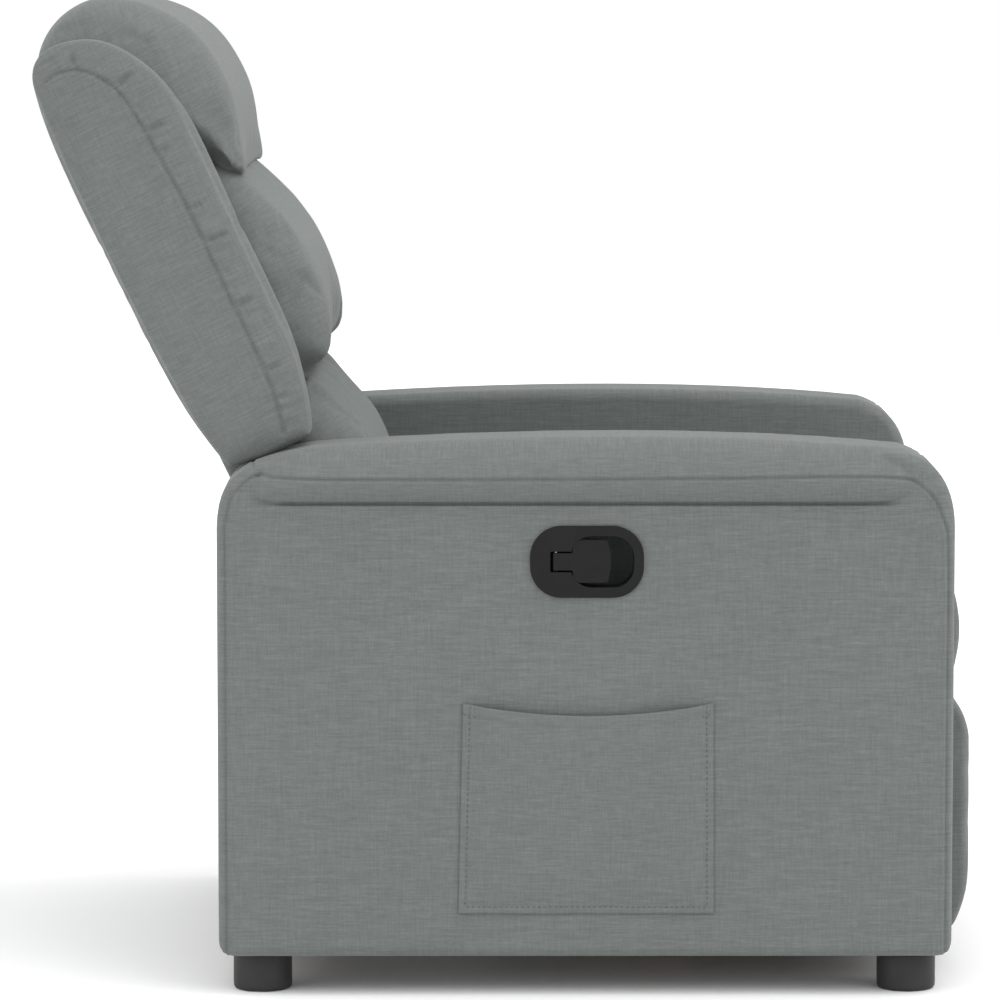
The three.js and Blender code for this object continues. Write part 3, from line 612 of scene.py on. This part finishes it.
GREY = (0.131, 0.1435, 0.139)
FABRIC = linen("grey_linen", GREY)
# The thread is darker than the cloth as painted shade: its dark tone stands in for the shadow down in the sewn
# seams.
THREAD_PAINTED_SHADE = linen("grey_thread_painted_shade", tuple(0.72 * c for c in GREY), 0.4)
LATCH_BLACK = plastic("latch_black", (0.0105, 0.0105, 0.0108), 0.46, 0.15)
LEG_BLACK = plastic("leg_black", (0.027, 0.027, 0.028), 0.5, 0.26, grain=500.0)
SHEATH = plastic("cable_sheath", (0.012, 0.012, 0.013), 0.4, 0.45)
STEEL = metal("painted_steel", (0.02, 0.021, 0.023), 0.42, (0.12, 0.12, 0.125), 0.75)
SPRING = metal("zinc_spring", (0.42, 0.42, 0.44), 0.32, (0.6, 0.6, 0.62))
TIMBER = timber("frame_timber")
WEBBING = webbing_fabric("elastic_webbing")

SLOT_MATERIAL = {
    "upholstery": FABRIC,
    "webbing": WEBBING,
    "wood": TIMBER,
    "leg_plastic": LEG_BLACK,
    "latch_plastic": LATCH_BLACK,
    "cable_sheath": SHEATH,
    "mechanism_steel": STEEL,
    "spring_steel": SPRING,
}
for part in frame["record"]["subparts"]:
    node = frame["nodes"][part["node"]]
    node.data.materials.clear()
    node.data.materials.append(SLOT_MATERIAL[part["material_slot"]])

# ---------------------------------------------------------------- arms
def bend(*controls, count=15):
    """Points on a Bezier curve."""
    t = np.linspace(0, 1, count)[:, None]
    out, degree = 0, len(controls) - 1
    for i, control in enumerate(controls):
        out = out + math.comb(degree, i) * t**i * (1 - t) ** (degree - i) * np.array(control, float)
    return out


def arm_outline():
    """The arm in side view, as (x, z)."""
    back, front, bottom, top = ARM_BACK, ARM_FRONT, ARM_BOTTOM, ARM_TOP
    foot = 18
    return np.concatenate(
        [
            bend((front - foot, bottom), (front, bottom), (front, bottom + foot)),
            bend((front, top - 92), (front - 1, top - 29), (front - 53, top - 14)),
            bend(
                (front - 53, top - 14),
                (front - 225, top + 3),
                (front - 435, top + 2),
                (back + 97, top - 12),
            ),
            bend((back + 97, top - 12), (back + 30, top - 25), (back + 2, top - 33), (back, top - 92)),
            bend((back, bottom + foot), (back, bottom), (back + foot, bottom)),
        ]
    )


ARM_FLAT = polygon(arm_outline())
LATCH_HOLE = ((39, 416), (134, 476))
SEAM_Z = 530
SEAM_BACK, SEAM_FRONT = ARM_BACK + 8.5, ARM_FRONT - 7.5
# How round the panels' rims are, and the roll's lower outer edge and its top edges.
PANEL_EDGE, ROLL_EDGE, ROLL_TOP_EDGE = 12, 30, 40
TUCK = 5  # how far the outer panel steps back above the crease


def roll_section(across, z, bulge):
    """The roll across the arm: fat and low on the outside, and flush with the inner side."""
    outer = PANEL_OUT - 1 + (ROLL_OUT - PANEL_OUT + 1) * bulge
    a, b = across - outer + ROLL_EDGE, CREASE_Z - 6 - z + ROLL_EDGE
    corner = np.hypot(np.maximum(a, 0), np.maximum(b, 0)) + np.minimum(np.maximum(a, b), 0)
    return np.maximum(corner - ROLL_EDGE, ROLL_IN - across)


def arm_field(side):
    """Side panels on a box, with a padded roll along the top that bulges past the outer panel."""
    panel_middle, panel_half = (PANEL_OUT + ROLL_IN) / 2, (PANEL_OUT - ROLL_IN) / 2

    def field(x, y, z):
        flat = ARM_FLAT(x, z)
        across = side * y
        bulge = between(x, ARM_FRONT - 18, ARM_FRONT - 95) * between(x, ARM_BACK + 4, ARM_BACK + 72)
        panel = extrude(flat, across - panel_middle, panel_half, PANEL_EDGE)
        tuck = TUCK * bulge * between(z, CREASE_Z - 4, CREASE_Z + 1.5)
        panel = panel + tuck * between(across, PANEL_OUT - 30, PANEL_OUT - PANEL_EDGE)
        section = roll_section(across, z, bulge)
        a, b = flat + ROLL_TOP_EDGE, section + ROLL_TOP_EDGE
        roll = np.minimum(np.maximum(a, b), 0) - ROLL_TOP_EDGE
        roll = roll + np.hypot(np.maximum(a, 0), np.maximum(b, 0))
        roll = np.maximum(roll, section)
        body = np.minimum(panel, roll)
        if side < 0:
            hole = np.maximum(box_2d(x, z, *LATCH_HOLE, 18), y + 300)
            body = np.maximum(body, -hole)
        return body

    return field


def arm_seam():
    """The line where an arm's outer panel meets the band round its edge, as points on y = 0."""
    back, front, level = SEAM_BACK, SEAM_FRONT, SEAM_Z
    corners = [
        (back, ARM_BOTTOM + 6),
        (back, 200),
        (back, 350),
        (back, 450),
        (back + 0.5, 485),
        (back + 9, 514),
        (back + 29, level + 1.5),
        (back + 40, level + 3.5),
        (back + 54, level + 1.5),
        (back + 110, level),
        (0, level),
        (200, level + 1),
        (front - 68, level + 2),
        (front - 24, level - 10),
        (front - 5, level - 42),
        (front, level - 80),
        (front, 300),
        (front, 150),
        (front, ARM_BOTTOM + 6),
    ]
    return smooth_line([(x, 0, z) for x, z in corners], 4)


ARM_BANDS = (
    [
        (ARM_BACK - 1, SEAM_BACK - 4, 2.2),
        (SEAM_BACK - 4, SEAM_BACK + 4, 0.9),
        (SEAM_BACK + 4, SEAM_BACK + 62, 1.7),
        (SEAM_FRONT - 75, SEAM_FRONT - 4, 1.7),
        (SEAM_FRONT - 4, SEAM_FRONT + 4, 0.9),
        (SEAM_FRONT + 4, ARM_FRONT + 2, 2.2),
    ],
    [(-ROLL_OUT - 1, -PANEL_OUT + 2, 1.8), (PANEL_OUT - 2, ROLL_OUT + 1, 1.8)],
    [
        (ARM_BOTTOM - 1, ARM_BOTTOM + 14, 3),
        (440, CREASE_Z - 4, 2.0),
        (CREASE_Z - 4, CREASE_Z + 5, 0.9),
        (CREASE_Z + 5, SEAM_Z - 3, 1.8),
        (SEAM_Z - 3, SEAM_Z + 7, 0.9),
        (SEAM_Z + 7, ARM_TOP + 4, 3.0),
    ],
)
arms = {}
for word, side in SIDES:
    arm = solid(
        f"{word}_arm",
        arm_field(side),
        (ARM_BACK, min(side * ROLL_IN, side * ROLL_OUT), ARM_BOTTOM),
        (ARM_FRONT, max(side * ROLL_IN, side * ROLL_OUT), ARM_TOP),
        5.5,
        FABRIC,
        "base",
        finer=ARM_BANDS,
    )
    arms[word] = arm
    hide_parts(f"{word}_arm_cover")
    sew(arm, arm_seam(), (0, side, 0), width=1.5, depth=2.0, lip=0.5)
    crease = [(x, 0, CREASE_Z - 1) for x in np.linspace(ARM_BACK + 54, ARM_FRONT - 54, 40)]
    sew(arm, crease, (0, side, 0), width=1.3, depth=2.4, lip=0, fade=20)
    for x, turn in ((ARM_FRONT - 36, 1), (ARM_BACK + 42, -1)):
        dart = smooth_line([(x, 0, SEAM_Z + 3), (x + 8 * turn, 0, SEAM_Z + 18)], 2)
        sew(arm, dart, (0, 0.4 * side, 0.9), width=1.6, depth=1.2, lip=0.2)

# ---------------------------------------------------------------- side pocket
def side_pocket():
    """A fabric pouch: its mouth hangs open in a shallow curve, and its hems are sewn flat."""
    x0, x1 = POCKET_LOW[0], POCKET_HIGH[0]
    z0, z1 = POCKET_LOW[2], POCKET_HIGH[2]
    wall, hem_height = 1.7, 12
    columns, rows = 131, 109
    u, v = np.meshgrid(np.linspace(0, 1, columns), np.linspace(0, 1, rows), indexing="ij")
    left_edge = x0 + 5 * v
    right_edge = x1 - 1.0 * v
    x = left_edge + u * (right_edge - left_edge)
    top = z1 - 12.5 * np.sin(np.pi * u) ** 0.9
    z = z0 + v * (top - z0)
    edge = np.minimum(np.minimum(x - left_edge, right_edge - x), z - z0)
    open_share = between(edge, 5, 26) * (0.35 + 0.65 * between(v, 0.2, 1.0))
    rng = np.random.default_rng(11)
    waves = 0.35 * ripple(x + 0.3 * z, 60, rng) * open_share
    gap = 0.4 + 5.6 * open_share + waves
    below_top = top - z
    hem = 0.8 * between(below_top, hem_height + 1.5, hem_height - 0.5)
    hem = hem - 0.7 * np.exp(-(((below_top - hem_height) / 1.3) ** 2))
    strip = -0.55 * np.exp(-(((edge - 8) / 1.2) ** 2)) * between(below_top, 10, 14)
    roll_over = 0.5 * np.exp(-((edge / 1.5) ** 2))
    front = -(PANEL_OUT + gap + wall + hem + strip - roll_over)
    rear = np.maximum(-(PANEL_OUT + gap), front + wall * 0.9)
    outer = np.stack([x, front, z], -1).reshape(-1, 3)
    inner = np.stack([x, np.minimum(rear, -PANEL_OUT - 0.15), z], -1).reshape(-1, 3)
    index = np.arange(columns * rows).reshape(columns, rows)
    quads = np.stack([index[:-1, :-1], index[1:, :-1], index[1:, 1:], index[:-1, 1:]], -1)
    quads = quads.reshape(-1, 4)
    offset = columns * rows
    rim = np.concatenate([index[:, 0], index[-1, 1:], index[-2::-1, -1], index[0, -2:0:-1]])
    ahead = np.roll(rim, -1)
    walls = np.stack([rim, rim + offset, ahead + offset, ahead], 1)
    points = np.concatenate([outer, inner])
    faces = np.concatenate([quads, quads[:, ::-1] + offset, walls])
    piece = make_piece("side_pocket_pouch", points, faces, FABRIC, "base")
    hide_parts("side_pocket")
    y = -PANEL_OUT - 4
    hem_line = [(a, y, b) for a, b in zip(x[3:-3, 0], (top[:, 0] - 11.0)[3:-3])]
    stitch_row("pocket_hem_stitches", piece, hem_line, "base")
    inset = 7.2
    sides = [
        (x0 + 5 + inset, y, z1 - 4),
        (x0 + inset + 0.5, y, z0 + inset),
        (x1 - inset, y, z0 + inset),
        (x1 - inset - 1, y, z1 - 4),
    ]
    stitch_row("pocket_edge_stitches", piece, sides, "base")


side_pocket()

# ---------------------------------------------------------------- legs
LEG_SIDES = 72


def moulded_leg(word):
    """A round leg, turned from its profile of (radius, height)."""
    low, high = cad_mm(f"{word}_leg")
    centre = (low + high) / 2
    radius = (high[0] - low[0]) / 2
    profile = [(radius - 5, 0), (radius - 1.6, 0.6), (radius - 0.3, 2.6), (radius, 5)]
    profile += [(radius, 20), (radius, 36.5), (radius - 0.6, 38.6), (radius - 2, 39.4)]
    spin = np.linspace(0, 2 * np.pi, LEG_SIDES, endpoint=False)
    points = [
        (centre[0] + r * math.cos(a), centre[1] + r * math.sin(a), z)
        for r, z in profile
        for a in spin
    ]
    last = (len(profile) - 1) * LEG_SIDES
    faces = []
    for a in range(0, last, LEG_SIDES):
        b = a + LEG_SIDES
        for k in range(LEG_SIDES):
            m = (k + 1) % LEG_SIDES
            faces.append((a + k, a + m, b + m, b + k))
    faces.append(tuple(range(LEG_SIDES - 1, -1, -1)))
    faces.append(tuple(range(last, last + LEG_SIDES)))
    foot = make_piece(f"{word}_moulded_leg", points, faces, LEG_BLACK, "base")
    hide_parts(f"{word}_leg")


for word in ("front_left", "front_right", "rear_left", "rear_right"):
    moulded_leg(word)

# ---------------------------------------------------------------- latch
# Side-view rectangles as (x, z), and depths along y.
PANEL_Y = LATCH_LOW[1] + 3.4
SHELL_Y = -334
SHELL = {"low": (40.4, 417), "high": (133, 475)}
TAB = {"low": (45.4, 435.5), "high": (70, 456.5)}
WELL = {"low": (66, 420), "high": (130, 472)}
PADDLE = {"low": (68, 424.5), "high": (107, 468.5)}
LEVER_PIVOT = np.array(JOINT["lever_pull"]["pos_m"]) / MM


def latch_field(x, y, z):
    """A flat bezel with a soft edge, and behind it a cup for the fingers."""
    bezel_flat = box_2d(x, z, LATCH_LOW[[0, 2]], LATCH_HIGH[[0, 2]], 32)
    bezel = extrude(bezel_flat, y - (PANEL_Y - 0.9), 2.5, 1.5)
    shell_flat = box_2d(x, z, SHELL["low"], SHELL["high"], 20)
    shell = np.maximum(shell_flat, np.maximum(PANEL_Y - y, y - SHELL_Y))
    well_flat = box_2d(x, z, WELL["low"], WELL["high"], 21)
    depth = 337 + 9 * between(x, 112, 131) ** 2
    well = np.maximum(well_flat + 2.2 * between(-y, 360, 338), y + depth)
    lip = 1.3 * between(-y, 1.0 - PANEL_Y, 3.4 - PANEL_Y)
    well = np.minimum(well, np.maximum(well_flat - lip, -358 - y))
    slot = np.maximum(box_2d(x, z, TAB["low"], TAB["high"], 1.5), y + 341)
    return np.maximum(np.minimum(bezel, shell), -np.minimum(well, slot))


def lever_field(x, y, z):
    """The T-shaped lever: a tab at its hinge, and a paddle with a bowed edge."""
    bow_radius = 62
    bow = np.hypot(x - (PADDLE["high"][0] - bow_radius), z - LEVER_PIVOT[2]) - bow_radius
    paddle_flat = np.maximum(box_2d(x, z, PADDLE["low"], PADDLE["high"], 8), bow)
    tab_flat = box_2d(x, z, (LEVER_PIVOT[0] - 2.8, 437), (74, 455), 1.0)
    plate = extrude(np.minimum(paddle_flat, tab_flat), y - (PANEL_Y - 0.7), 2.3, 1.1)
    barrel = np.hypot(x - LEVER_PIVOT[0], y - LEVER_PIVOT[1]) - 3.6
    barrel = np.maximum(barrel, np.abs(z - 448) - 7)
    horn = np.maximum(np.abs(x - LEVER_PIVOT[0]) - 2, np.abs(z - LEVER_PIVOT[2]) - 3)
    horn = np.maximum(horn, np.abs(y + 349.5) - 6.5)
    return np.minimum(np.minimum(plate, barrel), horn)


housing = solid(
    "latch_bezel", latch_field, LATCH_LOW, LATCH_HIGH, 0.9, LATCH_BLACK, "base"
)
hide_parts("latch_housing")
lever = solid(
    "latch_lever",
    lever_field,
    (44, PANEL_Y - 3.5, 423),
    (108, -342, 470),
    0.7,
    LATCH_BLACK,
    "release_lever",
)
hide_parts("release_lever")

# ---------------------------------------------------------------- cushions
CUSHIONS = []
SWELL_FRAMES = 20


def cushion(
    name, field, low, high, body, nodes, cap,
    step=6.0, place=None, pressure=4.0, stapled=None,
):
    """A stuffed piece: its starting shape here, inflated later with all the others.

    cap limits how far a point swells, and points with x below stapled stay where they are.
    """
    piece = solid(name, field, low, high, step, FABRIC, body, place)
    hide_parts(*nodes)
    CUSHIONS.append((piece, cap, pressure, stapled))
    return piece


def inflate():
    """Runs one cloth simulation of every cushion, and limits how far each point moves."""
    scene = bpy.context.scene
    scene.frame_start, scene.frame_end = 1, SWELL_FRAMES
    for piece, _, pressure, _ in CUSHIONS:
        cloth = piece.modifiers.new("Cloth", "CLOTH")
        cloth.settings.quality = 5
        cloth.settings.use_pressure = True
        cloth.settings.uniform_pressure_force = pressure
        cloth.settings.effector_weights.gravity = 0
        cloth.settings.tension_stiffness = 15
        cloth.settings.compression_stiffness = 15
        cloth.settings.shear_stiffness = 8
        cloth.settings.bending_stiffness = 0.4
        cloth.collision_settings.use_collision = False
        cloth.point_cache.frame_start, cloth.point_cache.frame_end = 1, SWELL_FRAMES
    for number in range(SWELL_FRAMES):
        scene.frame_set(number + 1)
    graph = bpy.context.evaluated_depsgraph_get()
    swollen = []
    for piece, *_ in CUSHIONS:
        mesh = piece.evaluated_get(graph).data
        co = np.empty(len(mesh.vertices) * 3, np.float32)
        mesh.vertices.foreach_get("co", co)
        swollen.append(co.reshape(-1, 3).astype(float) / MM)
    for (piece, cap, _, stapled), after in zip(CUSHIONS, swollen):
        piece.modifiers.clear()
        before = points_of(piece)
        move = after - before
        length = np.linalg.norm(move, axis=1, keepdims=True)
        move *= cap * np.tanh(length / cap) / np.maximum(length, 1e-6)
        if stapled is not None:
            move *= between(before[:, :1], stapled, stapled + 7)
        set_points(piece, before + move)
    scene.frame_set(1)
    for piece, *_ in CUSHIONS:
        subdivide(piece)
        piece.data.shade_smooth()


def across_seat(corners, half, rim):
    """A field for a cushion that runs across the chair: its outline in side view, given ends."""
    flat = polygon(rounded(corners))

    def field(x, y, z):
        return extrude(flat(x, z), y, half, rim)

    return field


# Side-view outlines in the back's own frame, as (x, z, corner radius).
SOFT = 99  # as round as the corner's two sides allow
HEADREST = [
    (20, 632, 5),
    (18, 649, SOFT),
    (26, 665, SOFT),
    (41, 680, SOFT),
    (63, 691, SOFT),
    (93, 695, SOFT),
    (119, 685, SOFT),
    (141, 668, SOFT),
    (161, 647, SOFT),
    (175, 622, SOFT),
    (182, 596, SOFT),
    (184, 567, SOFT),
    (183, 545, SOFT),
    (178, 524, SOFT),
    (171, 502, SOFT),
    (166, 482, SOFT),
    (160, 458, 6),
    (136, 503, 10),
    (52, 505, 8),
    (52, 632, 6),
]
BOLSTER = [
    (24, 202, 4),
    (11, 256, SOFT),
    (5, 354, SOFT),
    (3.5, 450, SOFT),
    (5, 555, SOFT),
    (9, 613, SOFT),
    (14, 648, SOFT),
    (26, 665, SOFT),
    (48, 672, SOFT),
    (74, 667, SOFT),
    (97, 656, SOFT),
    (121, 629, SOFT),
    (138, 594, SOFT),
    (142, 562, SOFT),
    (142, 470, SOFT),
    (141, 360, SOFT),
    (140, 282, SOFT),
    (132, 244, SOFT),
    (117, 197, 3),
    (72, 197, SOFT),
]
MIDDLE = [
    (51, 260, 8),
    (158, 257, 10),
    (166, 267, SOFT),
    (172, 284, SOFT),
    (176, 304, SOFT),
    (179, 326, SOFT),
    (181, 350, SOFT),
    (180, 375, SOFT),
    (176, 395, SOFT),
    (171, 417, SOFT),
    (163, 440, SOFT),
    (155, 460, 8),
    (132, 507, 6),
    (51, 507, 8),
]
LOWER = [
    (51, 8, 10),
    (103, -18, 16),
    (122, 20, SOFT),
    (140, 72, SOFT),
    (149, 110, SOFT),
    (153, 140, SOFT),
    (152, 168, SOFT),
    (145, 191, SOFT),
    (138, 213, SOFT),
    (133, 235, SOFT),
    (136, 252, 10),
    (51, 254, 8),
]
BACK_FRONT = 46  # the front of the back's wooden frame


def bolster_field(side):
    """A field for a side bolster: its outline in side view, given thickness and soft edges."""
    flat = polygon(rounded(BOLSTER))
    middle, half = (BOLSTER_OUT + BOLSTER_IN) / 2, (BOLSTER_OUT - BOLSTER_IN) / 2

    def field(x, y, z):
        return extrude(flat(x, z) + 2, side * y - middle, half - 1, 7)

    return field


cushion(
    "headrest",
    across_seat(HEADREST, 297, 88),
    (0, -300, 460),
    (190, 300, 705),
    "backrest",
    ["headrest_cushion"],
    cap=6,
    place=BACK,
)
cushion(
    "middle_cushion",
    across_seat(MIDDLE, CUSHION_HALF + 1, 28),
    (45, -245, 250),
    (185, 245, 509),
    "backrest",
    ["middle_back_cushion"],
    cap=9,
    place=BACK,
)
cushion(
    "lower_cushion",
    across_seat(LOWER, CUSHION_HALF + 1, 46),
    (45, -245, -25),
    (160, 245, 258),
    "backrest",
    ["lower_back_cushion"],
    cap=9,
    place=BACK,
)
bolsters = {}
for word, side in SIDES:
    bolsters[word] = cushion(
        f"{word}_side_bolster",
        bolster_field(side),
        (0, min(side * BOLSTER_IN, side * BOLSTER_OUT), 194),
        (145, max(side * BOLSTER_IN, side * BOLSTER_OUT), 680),
        "backrest",
        [f"{word}_bolster"],
        cap=3.5,
        step=3.8,
        place=BACK,
    )

SEAT = [
    (SEAT_LOW[0] + 3, 352, 18),
    (433, 352, 0),
    (433, SEAT_LOW[2] + 3, 14),
    (SEAT_HIGH[0] - 12, SEAT_LOW[2] + 3, 18),
    (SEAT_HIGH[0] - 2, 346, 28),
    (SEAT_HIGH[0] - 6, 415, 40),
    (SEAT_HIGH[0] - 58, 459, 50),
    (SEAT_LOW[0] + 3, 452, 26),
]
cushion(
    "seat_pad",
    across_seat(SEAT, 243, 24),
    SEAT_LOW,
    SEAT_HIGH,
    "seat_carriage",
    ["seat_cushion"],
    cap=9,
)
PAD = [
    (BOARD_LOW[0] + 2, PAD_LOW[2], 3),
    (PAD_LOW[0] + 16, PAD_LOW[2], 14),
    (PAD_HIGH[0] - 5, 85, 40),
    (PAD_HIGH[0] - 4, 170, SOFT),
    (PAD_HIGH[0] - 5, 262, 26),
    (PAD_LOW[0] + 19, PAD_HIGH[2], 12),
    (BOARD_LOW[0] + 2, PAD_HIGH[2], 3),
]
cushion(
    "footrest_cushion",
    across_seat(PAD, PAD_HIGH[1] + 0.5, 6),
    (BOARD_LOW[0], PAD_LOW[1], PAD_LOW[2]),
    PAD_HIGH,
    "footrest",
    ["footrest_pad"],
    cap=4,
    step=4.6,
    stapled=BOARD_HIGH[0] + 1,
)


def outside_back(x, y, z):
    """The rear panel between the bolsters, and below them the sides that wrap round the frame."""
    panel = brick(x, y, z, (16, -CUSHION_HALF, -10), (23.5, CUSHION_HALF, 640), 3.2)
    side = brick(x, np.abs(y), z, (18, 235.5, 52), (BACK_FRONT + 6, CUSHION_HALF, 232), 2.6)
    return np.minimum(panel, side)


cushion(
    "outside_back",
    outside_back,
    (14, -CUSHION_HALF, -12),
    (BACK_FRONT + 8, CUSHION_HALF, 642),
    "backrest",
    ["back_rear_panel"],
    cap=1.5,
    step=4.5,
    place=BACK,
    pressure=0.6,
)


def inside_lining(x, y, z):
    """The fabric behind the back cushions, which shows in the valleys between them."""
    return brick(x, y, z, (BACK_FRONT + 1, -CUSHION_HALF, 0), (BACK_FRONT + 14, CUSHION_HALF, 630), 5)


lining = solid(
    "inside_lining",
    inside_lining,
    (BACK_FRONT, -CUSHION_HALF, 0),
    (BACK_FRONT + 15, CUSHION_HALF, 630),
    8,
    FABRIC,
    "backrest",
    BACK,
)


def rear_apron(x, y, z):
    """The fabric panel between the arms at the back, below the backrest."""
    return brick(x, y, z, APRON_LOW + 0.5, APRON_HIGH - 0.5, 6)


cushion(
    "rear_apron_panel",
    rear_apron,
    APRON_LOW,
    APRON_HIGH,
    "base",
    ["rear_apron"],
    cap=2.5,
    step=5.5,
    pressure=1.0,
)

inflate()

# ---------------------------------------------------------------- seams
# The seam round the bolster's outer side, as (x, z) in the back's own frame.
BOLSTER_SEAM = [
    (30, 638),
    (45, 640),
    (68, 632),
    (89, 604),
    (96, 569),
    (99, 533),
    (103, 460),
    (102, 378),
    (102, 301),
    (100, 258),
    (92, 214),
]
# Folds that run from the bolster seam towards its edge: (share of the seam, length, depth).
GATHERS = [
    (0.07, 20, 1.5),
    (0.17, 27, 2.0),
    (0.24, 15, 1.0),
    (0.29, 26, 1.7),
    (0.335, 17, 1.5),
    (0.40, 14, 1.0),
    (0.475, 20, 1.2),
    (0.56, 29, 1.9),
    (0.63, 15, 1.1),
    (0.71, 24, 1.6),
    (0.79, 14, 1.0),
    (0.86, 22, 1.4),
    (0.93, 16, 1.2),
]


def gather(piece, seam, side):
    """Pinched folds beside a bolster's seam, on the side of its front edge."""
    for share, length, depth in GATHERS:
        at = int(share * (len(seam) - 1))
        ahead = seam[at + 1] - seam[at]
        out = np.array([-ahead[2], 0, ahead[0]]) / np.linalg.norm(ahead)
        fold = [seam[at] + out * away for away in np.linspace(0, length, 8)]
        sew(piece, fold, (0, side, 0), width=2.6, depth=1.6 * depth, lip=0.8 * depth, fade=9)


for word, side in SIDES:
    piece = bolsters[word]
    path = smooth_line([(x, side * BOLSTER_OUT, z) for x, z in BOLSTER_SEAM])
    sew(
        piece,
        path,
        (0, side, 0),
        width=2.0,
        depth=2.4,
        lip=0.6,
        pucker=1.5,
        reach=19,
        seed=21,
        towards=(1, 0, 0.15),
    )
    gather(piece, path, side)
    stitch_row(f"{word}_bolster_stitches", piece, path, "backrest", lift=-0.3)

# ---------------------------------------------------------------- footrest springs
def footrest_spring(word):
    """A close-wound extension spring from the seat plate to a peg on the rear link."""
    low, high = cad_mm(f"{word}_footrest_spring")
    centre_y, centre_z = (low[1] + high[1]) / 2, (low[2] + high[2]) / 2
    start, end = np.array([low[0], centre_y, centre_z]), np.array([high[0], centre_y, centre_z])
    radius, wire, pitch, hook, hook_radius = 6.4, 1.3, 3.0, 17, 5
    turns = (end[0] - start[0] - 2 * hook) / pitch
    angle = np.arange(0, turns * 2 * np.pi, 2 * np.pi / 14)
    along = start[0] + hook + angle / (2 * np.pi) * pitch
    coil = np.stack([along, centre_y + radius * np.sin(angle), centre_z + radius * np.cos(angle)], 1)

    def loop(x, way):
        """A hook: an open ring round the pin at x."""
        turn = np.linspace(-0.45 * np.pi, 1.25 * np.pi, 16)
        across, up = way * hook_radius * np.cos(turn), hook_radius * np.sin(turn)
        ring = np.stack([x + across, 0 * turn + centre_y, centre_z + up], 1)
        return ring if way > 0 else ring[::-1]

    rear = loop(start[0] + 6, -1)
    front = loop(end[0] - 6, 1)
    line = resample(np.concatenate([rear, coil, front]), 2.4)[0]
    piece = tube(f"{word}_footrest_coil", line, wire, 7, SPRING, "seat_carriage")
    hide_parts(f"{word}_footrest_spring")
    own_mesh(piece)


for word, _ in SIDES:
    footrest_spring(word)

# ---------------------------------------------------------------- studio
FLOOR_RADIUS, FLOOR_SIDES = 9, 96
floor_mesh = bpy.data.meshes.new("floor")
ring = [
    (FLOOR_RADIUS * math.cos(a), FLOOR_RADIUS * math.sin(a), 0)
    for a in np.linspace(0, 2 * np.pi, FLOOR_SIDES, endpoint=False)
]
floor_mesh.from_pydata(ring, [], [tuple(range(FLOOR_SIDES))])
floor = bpy.data.objects.new("floor", floor_mesh)
bpy.context.scene.collection.objects.link(floor)
pale = Nodes("pale_floor").finish((0.93, 0.93, 0.93, 1), 0.9)
floor_mesh.materials.append(pale)

# The camera sees a pure white background, and the chair is lit by a slightly weaker one.
world = bpy.data.worlds.new("studio")
bpy.context.scene.world = world
world.use_nodes = True
tree = world.node_tree
sky = tree.nodes["Background"]
sky.inputs["Color"].default_value = (1, 1, 1, 1)
seen = tree.nodes.new("ShaderNodeBackground")
seen.inputs["Color"].default_value = (1, 1, 1, 1)
seen.inputs["Strength"].default_value = 1.0
sky.inputs["Strength"].default_value = 0.98
path_kind = tree.nodes.new("ShaderNodeLightPath")
blend_node = tree.nodes.new("ShaderNodeMixShader")
tree.links.new(path_kind.outputs["Is Camera Ray"], blend_node.inputs[0])
tree.links.new(sky.outputs[0], blend_node.inputs[1])
tree.links.new(seen.outputs[0], blend_node.inputs[2])
tree.links.new(blend_node.outputs[0], tree.nodes["World Output"].inputs["Surface"])


def sun(name, towards, strength, spread):
    """A soft distant light. towards points from the chair to the light."""
    light = bpy.data.lights.new(name, "SUN")
    light.energy = strength
    light.angle = math.radians(spread)
    lamp = bpy.data.objects.new(name, light)
    lamp.rotation_euler = Vector(towards).to_track_quat("Z", "Y").to_euler()
    bpy.context.scene.collection.objects.link(lamp)


sun("key", (0.12, -0.36, 0.92), 0.9, 70)
sun("front", (0.65, -0.25, 0.7), 1.1, 60)
sun("rear", (-0.9, -0.25, 0.35), 0.6, 60)

bpy.context.scene.view_settings.view_transform = "Standard"
bpy.context.scene.view_settings.look = "None"

CAMERA_PLACE = (-0.019, -5.605, 1.051)
CAMERA_DIP, CAMERA_TURN = 0.103, -0.0026  # radians below level, and away from square on
lens = bpy.data.cameras.new("camera")
lens.lens = 188.3
lens.sensor_width = 36
lens.clip_end = 60
camera = bpy.data.objects.new("camera", lens)
camera.location = CAMERA_PLACE
camera.rotation_euler = (math.radians(90) - CAMERA_DIP, 0, CAMERA_TURN)
bpy.context.scene.collection.objects.link(camera)
bpy.context.scene.camera = camera
